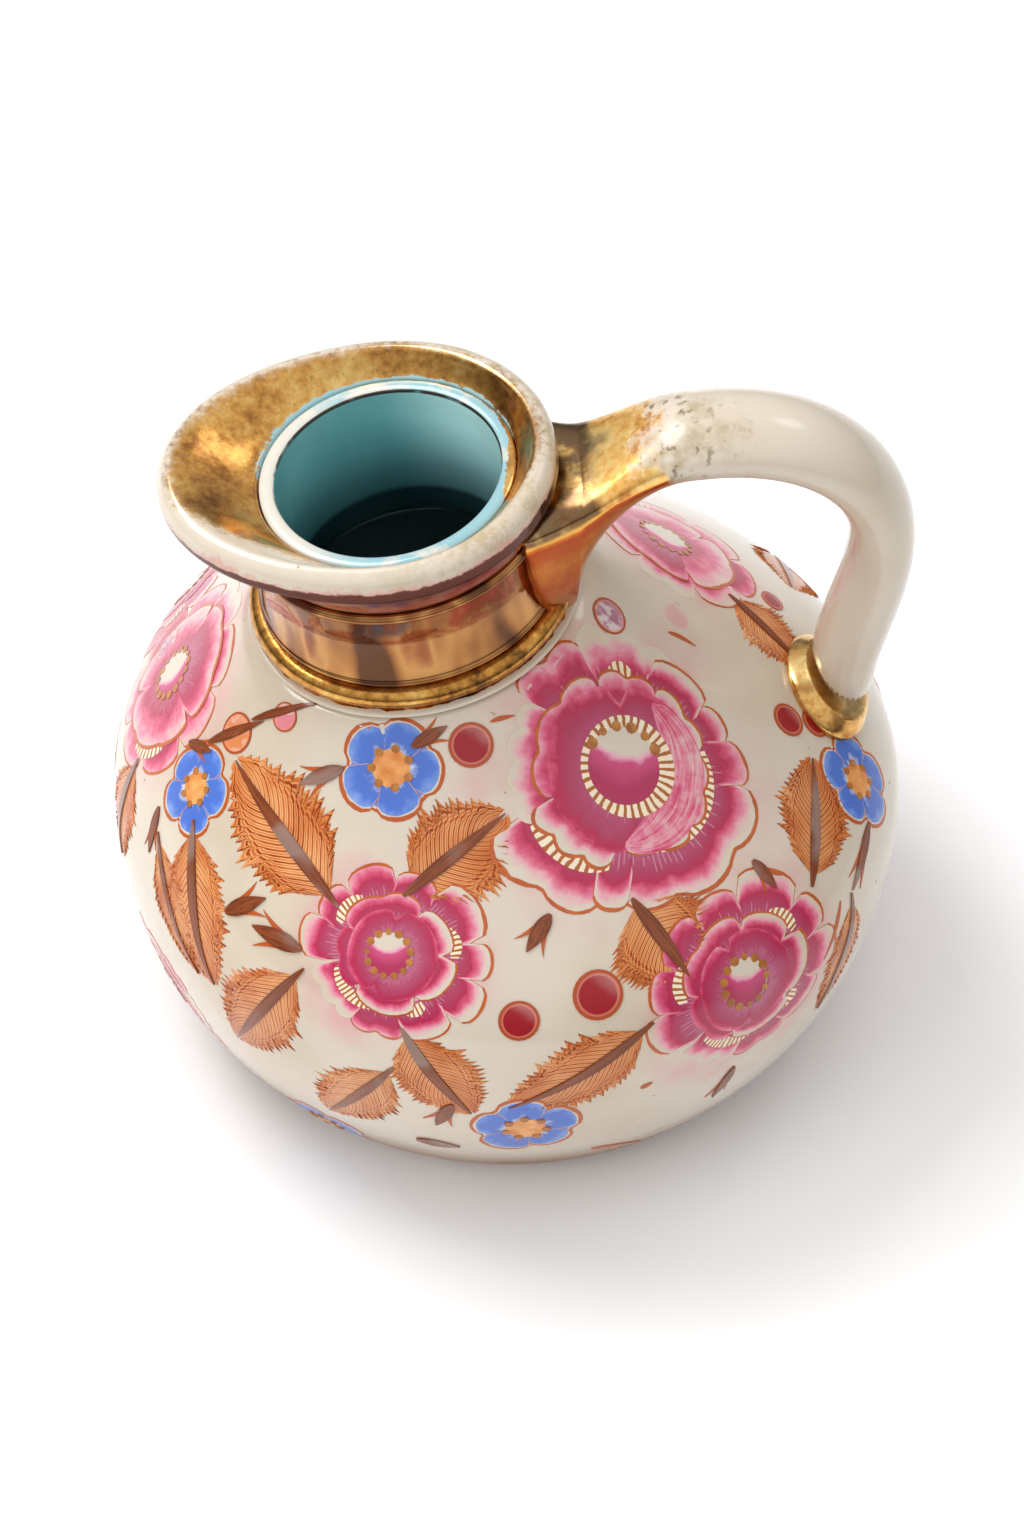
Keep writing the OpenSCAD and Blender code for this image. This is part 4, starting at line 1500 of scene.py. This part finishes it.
def heart_enamel():
    """Magenta below, with a white crescent above; hearts on the second tile are mostly cream."""
    material, tree, shader = enamel("heart_enamel")
    across, out, _ = tile_map(tree)
    place = surface_place(tree)
    turn = calc(tree, "MULTIPLY", across, -2 * math.pi)
    height = calc(tree, "MULTIPLY", out, calc(tree, "SINE", turn))
    soft = calc(tree, "MULTIPLY_ADD", grain(tree, place, 260, 3), 0.5, -0.25)
    width = calc(tree, "MULTIPLY", out, calc(tree, "COSINE", turn))
    bowed = calc(tree, "MULTIPLY_ADD", calc(tree, "MULTIPLY", width, width), -0.5, height)
    column, _ = own_map(tree)
    cream = calc(tree, "GREATER_THAN", column, 1 / TILES)
    level = calc(tree, "MULTIPLY_ADD", cream, 0.5, calc(tree, "ADD", soft, bowed))
    colour = ramp(tree, calc(tree, "MULTIPLY_ADD", level, 0.5, 0.5), [
        (0.2, tint(168, 44, 84)), (0.50, tint(196, 74, 118)), (0.57, tint(226, 160, 180)), (0.64, IVORY),
    ])
    wire(tree, shader, Base_Color=colour)
    return material


def dot_enamel():
    material, tree, shader = enamel("dot_enamel")
    tone = grain(tree, surface_place(tree), 500, 2)
    wire(tree, shader, Base_Color=ramp(tree, tone, [(0.3, tint(150, 88, 36)), (0.7, tint(188, 124, 60))]))
    return material


fire_piece("rose_ladders", ladder_layers, ladder_enamel())
fire_piece("rose_hearts", heart_layers, heart_enamel())

# %% [markdown]
# The small flowers have five round blue petals about an orange eye with darker dots. They use the
# same polar petals as the roses, with one scallop each, over a disc that closes the gaps between
# them. The blue stops short of the rim, so a thread of glaze shows inside the rust outline.

# %% Paint the blue flowers
blossom_layers, eye_layers = {}, {}


def paint_blossom(place, radius, seed):
    luck = random.Random(seed)
    lean = luck.uniform(0, 2 * math.pi)
    sweep = 2 * math.pi / 5
    for step in range(5):
        reach = radius * luck.uniform(0.92, 1.04)
        tile = luck.randrange(TILES * TILES)
        mark = petal(place, lean + step * sweep, sweep * 1.12, radius * 0.1, (reach, reach), 1, 0.24, tile)
        lay(blossom_layers, lifts["outer"] + overlap_step * (step % 3), mark)
    lay(blossom_layers, lifts["leaf"], ring_mark(place, (0, 0), radius * 0.1, radius * 0.8, tile=TILES))
    lay(eye_layers, lifts["bowl"], ring_mark(place, (0, 0), 0, radius * 0.33, columns=18))
    for step in range(7):
        turn = lean + step * 2 * math.pi / 7
        middle = (radius * 0.34 * math.cos(turn), radius * 0.34 * math.sin(turn))
        lay(dot_layers, lifts["dot"], ring_mark(place, middle, 0, radius * 0.075, columns=8))


BLOSSOMS_SEEN = [((391, 768), 9.2), ((196, 788), 8.0), ((526, 1128), 9.8), ((858, 780), 8.6)]
BLOSSOMS_BEHIND = [((75, 66), 8.0), ((125, 22), 8.0), ((28, 22), 7.5), ((172, 40), 7.5), ((76, 16), 7.0),
                    ((236, 12), 8.0)]
for number, (pixel, radius) in enumerate(BLOSSOMS_SEEN):
    paint_blossom(at_pixel(*pixel), radius * MM, 50 + number)
for number, (side, radius) in enumerate(BLOSSOMS_BEHIND):
    paint_blossom(at_side(*side), radius * MM, 60 + number)


def blossom_enamel():
    material, tree, shader = enamel("blossom_enamel")
    across, out, chance = tile_map(tree)
    place = surface_place(tree)
    streak = strokes(tree, across, out, chance, 12.0, 1.5)
    mottle = calc(tree, "MULTIPLY_ADD", grain(tree, place, 330, 4), 0.6, -0.3)
    level = calc(tree, "MULTIPLY_ADD", streak, 0.5, calc(tree, "ADD", out, mottle))
    level = calc(tree, "ADD", level, -0.25)
    colour = ramp(tree, level, [
        (0.22, tint(198, 206, 222)), (0.40, tint(78, 110, 192)),
        (0.7, tint(74, 112, 198)), (1.0, tint(126, 156, 216)),
    ])
    gap = fade(tree, calc(tree, "MULTIPLY_ADD", grain(tree, place, 260, 2), 0.08, out), 0.905, 0.925)
    line = fade(tree, calc(tree, "MULTIPLY_ADD", grain(tree, place, 320, 2), 0.10, out), 0.955, 0.975)
    colour = blend(tree, gap, colour, ivory_colour(tree, place))
    wire(tree, shader, Base_Color=blend(tree, line, colour, RUST))
    bump(tree, shader, streak, 0.15, 0.05 * MM)
    return material


def eye_enamel():
    material, tree, shader = enamel("eye_enamel")
    tone = grain(tree, surface_place(tree), 420, 3)
    wire(tree, shader, Base_Color=ramp(tree, tone, [(0.3, tint(206, 122, 56)), (0.7, tint(236, 172, 104))]))
    return material


fire_piece("blossom_petals", blossom_layers, blossom_enamel())
fire_piece("blossom_eyes", eye_layers, eye_enamel())
fire_piece("stamen_dots", dot_layers, dot_enamel())

# %% [markdown]
# A leaf is a blade of short orange strokes, combed out to a toothed edge, with one dark stroke for
# its rib. The blade is a grid along its length whose width follows a rounded outline, cut into
# pointed teeth of uneven length. The ribs, buds and twigs are one kind of mark, a long lens, so they
# are painted together: dark brown ones, and thin rust hairs beside the buds.

# %% Leaf, bud and twig marks
blade_layers, rib_layers = {}, {}
RIB_KINDS = ["brown", "rust"]
rib_lift = 0.15 * MM


def along_spot(start, stop):
    """A frame on the pot whose up direction runs from one point of it to another."""
    (low, low_normal), (high, high_normal) = start, stop
    normal = (low_normal + high_normal).normalized()
    _, middle, _, _ = pot.closest_point_on_mesh(low.lerp(high, 0.5) + normal * wall)
    run = high - low
    run = run - normal * run.dot(normal)
    return spot(middle, normal, run.cross(normal)), run.length


leaf_teeth = 19
tooth_tip = 1.12
tooth_cut = 0.32
blade_bow = 0.14


def leaf_blade(place, length, half, tile, luck):
    """A blade whose edge is cut into teeth of uneven length, those of its two sides apart."""
    teeth = [[luck.uniform(0.88, 1.12) for _ in range(leaf_teeth + 1)] for _ in range(2)]

    def point(across, along):
        side = 2 * across - 1
        tooth = along * leaf_teeth
        outline = math.sin(math.pi * mix(0.06, 0.99, along) ** 0.8) ** 0.7
        jag = teeth[side > 0][int(tooth)] * (tooth_tip - tooth_cut * abs(2 * (tooth % 1) - 1))
        wide = half * outline * mix(1, jag, abs(side) ** 4)
        return on_spot(place, side * wide, length * (along - 0.5 + blade_bow * side * side))
    return brush_mark(8, leaf_teeth * 4, point, tile)


def lens_stroke(place, length, half, kind="brown", shift=(0.0, 0.0), bend=0.0):
    """A long lens, thickest before its middle."""
    def point(across, along):
        wide = half * math.sin(math.pi * mix(0.03, 0.98, along) ** 0.8) ** 0.9
        side = (2 * across - 1) * wide + bend * along * along
        return on_spot(place, shift[0] + side, shift[1] + length * (along - 0.5))
    return brush_mark(3, 14, point, RIB_KINDS.index(kind))


def paint_leaf(start, stop, half, seed):
    luck = random.Random(seed)
    place, length = along_spot(start, stop)
    tile = luck.randrange(TILES * TILES)
    lay(blade_layers, lifts["leaf"], leaf_blade(place, length * 0.9, half, tile, luck))
    lay(rib_layers, lifts["dot"], lens_stroke(place, length * 1.12, half * 0.14))


def paint_bud(start, stop, half):
    """A bud: a dark lens with a rust hair on each side of it."""
    place, length = along_spot(start, stop)
    lay(rib_layers, lifts["dot"], lens_stroke(place, length, half))
    for side in (-1, 1):
        shift = (side * half * 0.8, length * 0.12)
        hair = lens_stroke(place, length * 0.55, half * 0.28, "rust", shift, side * half * 1.3)
        lay(rib_layers, rib_lift, hair)


def paint_twig(start, stop, half, bend, kind):
    """A twig; a brown one lies over the berries."""
    place, length = along_spot(start, stop)
    lift = lifts["dot"] if kind == "brown" else rib_lift
    lay(rib_layers, lift, lens_stroke(place, length, half, kind, bend=bend))


print("leaf marks ready, with", leaf_teeth, "teeth a side")

# %% [markdown]
# The leaves spring from the roses and point away from them, and buds and twigs fill what is left.
# Each is given by its two ends on the pot, so that a leaf follows the curve that it lies on.

# %% Lay out the leaves and buds
# Each leaf: its base and its tip in the photograph, and its half width in millimetres
LEAVES_SEEN = [
    ((334, 900), (240, 768), 8.2), ((408, 892), (500, 818), 8.0), ((196, 822), (212, 978), 7.0),
    ((300, 972), (240, 1038), 7.0), ((404, 1034), (468, 1112), 7.2), ((390, 1070), (332, 1108), 6.2),
    ((648, 1026), (514, 1108), 6.6), ((634, 902), (686, 972), 8.8), ((812, 880), (812, 764), 7.0),
    ((852, 900), (818, 1006), 5.0), ((732, 598), (796, 660), 6.6), ((160, 836), (196, 968), 4.0),
]
# Each leaf on the far side: direction in degrees and height in millimetres of its base and its tip
LEAVES_BEHIND = [
    ((78, 50), (66, 62), 6.6), ((118, 62), (132, 70), 6.4), ((70, 28), (84, 36), 6.4),
    ((122, 34), (134, 44), 6.6), ((160, 34), (152, 22), 6.4), ((108, 20), (96, 10), 6.0),
    ((40, 52), (28, 60), 6.4), ((22, 38), (32, 27), 6.2), ((186, 56), (190, 40), 6.6),
    ((-12, 20), (-24, 12), 5.6),
]
BUDS_SEEN = [
    ((344, 768), (300, 784), 1.3), ((412, 746), (448, 725), 1.1), ((550, 914), (526, 952), 1.3),
    ((752, 860), (776, 888), 1.1), ((226, 912), (266, 898), 1.4), ((302, 950), (253, 925), 1.5),
    ((160, 806), (150, 852), 0.9), ((868, 822), (852, 890), 0.9), ((734, 1066), (712, 1096), 1.0),
    ((452, 1104), (436, 1124), 1.2), ((190, 742), (212, 752), 1.0),
]
TWIGS_SEEN = [
    ((209, 742), (264, 721), 0.9, 0.0, "brown"), ((250, 726), (317, 708), 0.7, 0.0, "brown"),
    ((668, 632), (694, 640), 0.4, 1.2, "rust"), ((490, 722), (514, 712), 0.4, 0.6, "rust"),
    ((840, 900), (826, 960), 0.4, 1.0, "rust"), ((640, 1088), (652, 1082), 0.5, 0.0, "rust"),
    ((416, 1138), (460, 1146), 1.4, 0.0, "brown"), ((592, 1148), (640, 1140), 1.2, 0.0, "rust"),
]
BUDS_BEHIND = [((88, 60), (82, 66), 1.2), ((140, 30), (146, 36), 1.2), ((60, 20), (54, 14), 1.2),
               ((112, 26), (116, 34), 1.2), ((34, 42), (30, 34), 1.2), ((178, 30), (170, 26), 1.2)]
for number, (start, stop, half) in enumerate(LEAVES_SEEN):
    paint_leaf(hit_pixel(*start), hit_pixel(*stop), half * MM, 80 + number)
for number, (start, stop, half) in enumerate(LEAVES_BEHIND):
    paint_leaf(hit_side(*start), hit_side(*stop), half * MM, 100 + number)
for start, stop, half in BUDS_SEEN:
    paint_bud(hit_pixel(*start), hit_pixel(*stop), half * MM)
for start, stop, half in BUDS_BEHIND:
    paint_bud(hit_side(*start), hit_side(*stop), half * MM)
for start, stop, half, bend, kind in TWIGS_SEEN:
    paint_twig(hit_pixel(*start), hit_pixel(*stop), half * MM, bend * MM, kind)
print(len(LEAVES_SEEN) + len(LEAVES_BEHIND), "leaves laid out")

# %% [markdown]
# The brush was drawn from the rib to the edge, once for each tooth, with finer strokes between. Noise alone
# would give a mottled leaf, so lanes are counted along the rib, slanted forwards, and each lane gets a
# stroke of its own strength and length. The ribs are brown, with a painted grey sheen here and there.

# %% Enamel of the leaves
stroke_slant = 0.26


def comb(tree, slant, across, side, chance):
    """Straight strokes from a leaf's rib to its edge, each of its own length and strength."""
    lane = calc(tree, "MULTIPLY_ADD", slant, leaf_teeth, -0.06)
    half = calc(tree, "GREATER_THAN", across, 0.5)
    where = put(tree, "CombineXYZ", {0: calc(tree, "FLOOR", lane), 1: chance, 2: half}).outputs[0]
    luck = put(tree, "TexWhiteNoise", {"Vector": where}).outputs["Value"]
    aside = calc(tree, "ABSOLUTE", calc(tree, "SUBTRACT", calc(tree, "FRACT", lane), 0.5))
    finer = calc(tree, "ABSOLUTE", calc(tree, "SUBTRACT", aside, 0.42))
    line = calc(tree, "MAXIMUM", fade(tree, aside, 0.26, 0.06), fade(tree, finer, 0.12, -0.06))
    line = calc(tree, "MULTIPLY", line, calc(tree, "MULTIPLY_ADD", luck, 0.5, 0.5))
    reach = calc(tree, "MULTIPLY_ADD", luck, 0.35, 0.85)
    return calc(tree, "MULTIPLY", line, fade(tree, calc(tree, "SUBTRACT", side, reach), 0.1, -0.1))


def blade_enamel():
    material, tree, shader = enamel("blade_enamel", gloss=0.25)
    across, along, chance = tile_map(tree)
    place = surface_place(tree)
    side = calc(tree, "ABSOLUTE", calc(tree, "MULTIPLY_ADD", across, 2.0, -1.0))
    slant = calc(tree, "MULTIPLY_ADD", side, -stroke_slant, along)
    hair = comb(tree, slant, across, side, chance)
    drift = calc(tree, "MULTIPLY_ADD", grain(tree, place, 130, 2), 0.5, -0.14)
    rich = calc(tree, "MULTIPLY_ADD", hair, 0.66, calc(tree, "MULTIPLY_ADD", side, 0.18, drift))
    colour = ramp(tree, rich, [
        (0.14, tint(224, 172, 120)), (0.36, tint(202, 118, 54)),
        (0.60, tint(172, 76, 20)), (0.85, tint(134, 50, 8)),
    ])
    wire(tree, shader, Base_Color=colour)
    bump(tree, shader, hair, 0.2, 0.05 * MM)
    return material


def rib_enamel():
    material, tree, shader = enamel("rib_enamel")
    across, along, chance = tile_map(tree)
    hair = strokes(tree, across, along, chance, 6.0, 3.0)
    column, _ = own_map(tree)
    rusty = calc(tree, "GREATER_THAN", column, 1 / TILES)
    brown = ramp(tree, hair, [(0.3, tint(92, 40, 16)), (0.7, tint(146, 74, 36))])
    # Painted sheen: grey patches stand in for light glancing off the glossy ribs.
    film_and_sheen = fade(tree, grain(tree, surface_place(tree), 70, 2), 0.52, 0.62)
    brown = blend(tree, calc(tree, "MULTIPLY", film_and_sheen, 0.45), brown, tint(160, 146, 138))
    wire(tree, shader, Base_Color=blend(tree, rusty, brown, RUST))
    return material


fire_piece("leaf_blades", blade_layers, blade_enamel())
fire_piece("leaf_ribs", rib_layers, rib_enamel())

# %% [markdown]
# Berries are round dabs of thick enamel with a rust outline and a pale line inside it. A berry is a
# disc, and its colour depends on the column that it takes on the sheet: red, mauve, orange or pink.
# All but the red ones are rubbed, so pale streaks cross them.

# %% Paint the berries
BERRY_KINDS = ["red", "mauve", "orange", "pink"]
STREAK_SHARES = [0.0, 0.8, 0.35, 0.6]
berry_layers = {}


def paint_berry(place, radius, kind):
    tile = BERRY_KINDS.index(kind)
    lay(berry_layers, lifts["bowl"], ring_mark(place, (0, 0), 0, radius * MM, columns=24, tile=tile))


BERRIES_SEEN = [
    ((471, 745), 3.6, "red"), ((519, 1021), 3.3, "red"), ((598, 995), 4.1, "red"),
    ((788, 720), 3.0, "red"), ((815, 722), 2.8, "red"), ((609, 616), 3.3, "mauve"),
    ((237, 733), 3.4, "orange"), ((285, 717), 2.4, "pink"), ((772, 601), 2.2, "red"),
]
BERRIES_BEHIND = [((88, 30), 3.4, "red"), ((114, 68), 3.2, "red"), ((136, 36), 3.0, "orange"),
                  ((62, 52), 3.4, "red"), ((166, 62), 3.2, "mauve"), ((44, 16), 3.2, "red"),
                  ((14, 44), 3.2, "red")]
for pixel, radius, kind in BERRIES_SEEN:
    paint_berry(at_pixel(*pixel), radius, kind)
for side, radius, kind in BERRIES_BEHIND:
    paint_berry(at_side(*side), radius, kind)


def berry_enamel():
    material, tree, shader = enamel("berry_enamel")
    kind, _ = own_map(tree)
    across, out, _ = tile_map(tree)
    place = surface_place(tree)
    tones = [tint(150, 18, 30), tint(168, 112, 136), tint(208, 128, 78), tint(214, 126, 136)]
    body = ramp(tree, kind, [(step / TILES, tone) for step, tone in enumerate(tones)], step=True)
    turn = calc(tree, "MULTIPLY", across, 2 * math.pi)
    # Painted highlight: a pale patch on one side of each berry, broken up by noise.
    lit = calc(tree, "MULTIPLY", out, calc(tree, "SINE", calc(tree, "ADD", turn, -0.6)))
    cloudy = calc(tree, "MULTIPLY_ADD", grain(tree, place, 380, 3), 0.6, -0.3)
    shine = fade(tree, calc(tree, "SUBTRACT", cloudy, lit), 0.1, 0.9)
    colour = blend(tree, calc(tree, "MULTIPLY", shine, 0.22), body, tint(238, 200, 196))
    drawn = put(tree, "VectorMath", {0: place, 1: (0.3, 1.0, 1.0)}, operation="MULTIPLY").outputs[0]
    streaks = fade(tree, grain(tree, drawn, 520, 2), 0.46, 0.6)
    streaks = calc(tree, "MULTIPLY", streaks, by_tile(tree, kind, STREAK_SHARES))
    colour = blend(tree, streaks, colour, tint(226, 214, 210))
    line = calc(tree, "MULTIPLY", fade(tree, out, 0.74, 0.79), fade(tree, out, 0.88, 0.84))
    colour = blend(tree, calc(tree, "MULTIPLY", line, 0.55), colour, tint(220, 140, 110))
    rim = fade(tree, out, 0.86, 0.9)
    wire(tree, shader, Base_Color=blend(tree, rim, colour, tint(168, 76, 34)))
    return material


fire_piece("berries", berry_layers, berry_enamel())

# %% [markdown]
# The pot comes last, because its glaze needs to know where the roses are. Its inside could be a piece
# of its own, but the wall is one skin from the foot over the mouth to the floor. So the faces past
# the mouth, which the map tells by their rise, take the inside's glaze as a second material.

# %% Dress the pot
dress(pot, pot_glaze(washes), "body")
pot.data.materials.append(inside_glaze())
rise = {}
for corner, loop in zip(pot.data.uv_layers[MAP].data, pot.data.loops):
    rise[loop.vertex_index] = corner.uv.y
mouth_rise = (len(outer_rings) - 0.5) / (len(outer_rings) + len(inner_rings) - 1)
for face in pot.data.polygons:
    heights = [rise[vertex] for vertex in face.vertices]
    face.material_index = 1 if min(heights) > mouth_rise else 0
print("pot dressed with", len(washes), "washes")

# %% [markdown]
# The ewer stands on a plain white floor under soft light: a broad light from behind on the left, two
# weaker ones in front and on the left that fill the shadows, and a small one that puts the bright
# spot on the gilt spout. The fill lights are kept out of the mirrors, where they would show as
# patches. A white surround, darker towards the floor, is what the gilding and the glaze mirror.

# %% Light the scene
def soft_light(name, place, size, power):
    bpy.ops.object.light_add(type="AREA", location=place)
    light = bpy.context.object
    light.name = name
    light.data.size = size
    light.data.energy = power
    light.rotation_euler = (view_target - Vector(place)).to_track_quat("-Z", "Y").to_euler()
    return light


floor = start_piece("floor", bpy.ops.mesh.primitive_plane_add, size=6)
floor_paint, tree, shader = finish("floor_white", {"Base Color": (0.92, 0.92, 0.92, 1), "Roughness": 0.7})
floor.data.materials.append(floor_paint)
soft_light("key_light", (-0.40, 0.25, 0.75), 0.45, 4.4)
for name, place, power in (
    ("front_light", (0.10, -0.7, 0.7), 1.3),
    ("left_light", (-0.8, -0.45, 0.55), 2.4),
):
    soft_light(name, place, 0.6, power).visible_glossy = False
soft_light("gilt_light", (0.44, 0.38, 0.71), 0.16, 0.2)
world = bpy.data.worlds.new("white_surround")
world.use_nodes = True
sky = world.node_tree
height = put(sky, "SeparateXYZ", {0: put(sky, "TexCoord", {}).outputs["Generated"]}).outputs["Z"]
glow = ramp(sky, height, [
    (0.0, (0.2, 0.19, 0.18, 1)), (0.2, (0.4, 0.39, 0.38, 1)),
    (0.45, (1.0, 1.0, 1.0, 1)), (0.75, (1.4, 1.4, 1.4, 1)),
])
sky.links.new(glow, sky.nodes["Background"].inputs["Color"])
sky.nodes["Background"].inputs["Strength"].default_value = 0.64
bpy.context.scene.world = world
bpy.context.scene.view_settings.view_transform = "Standard"
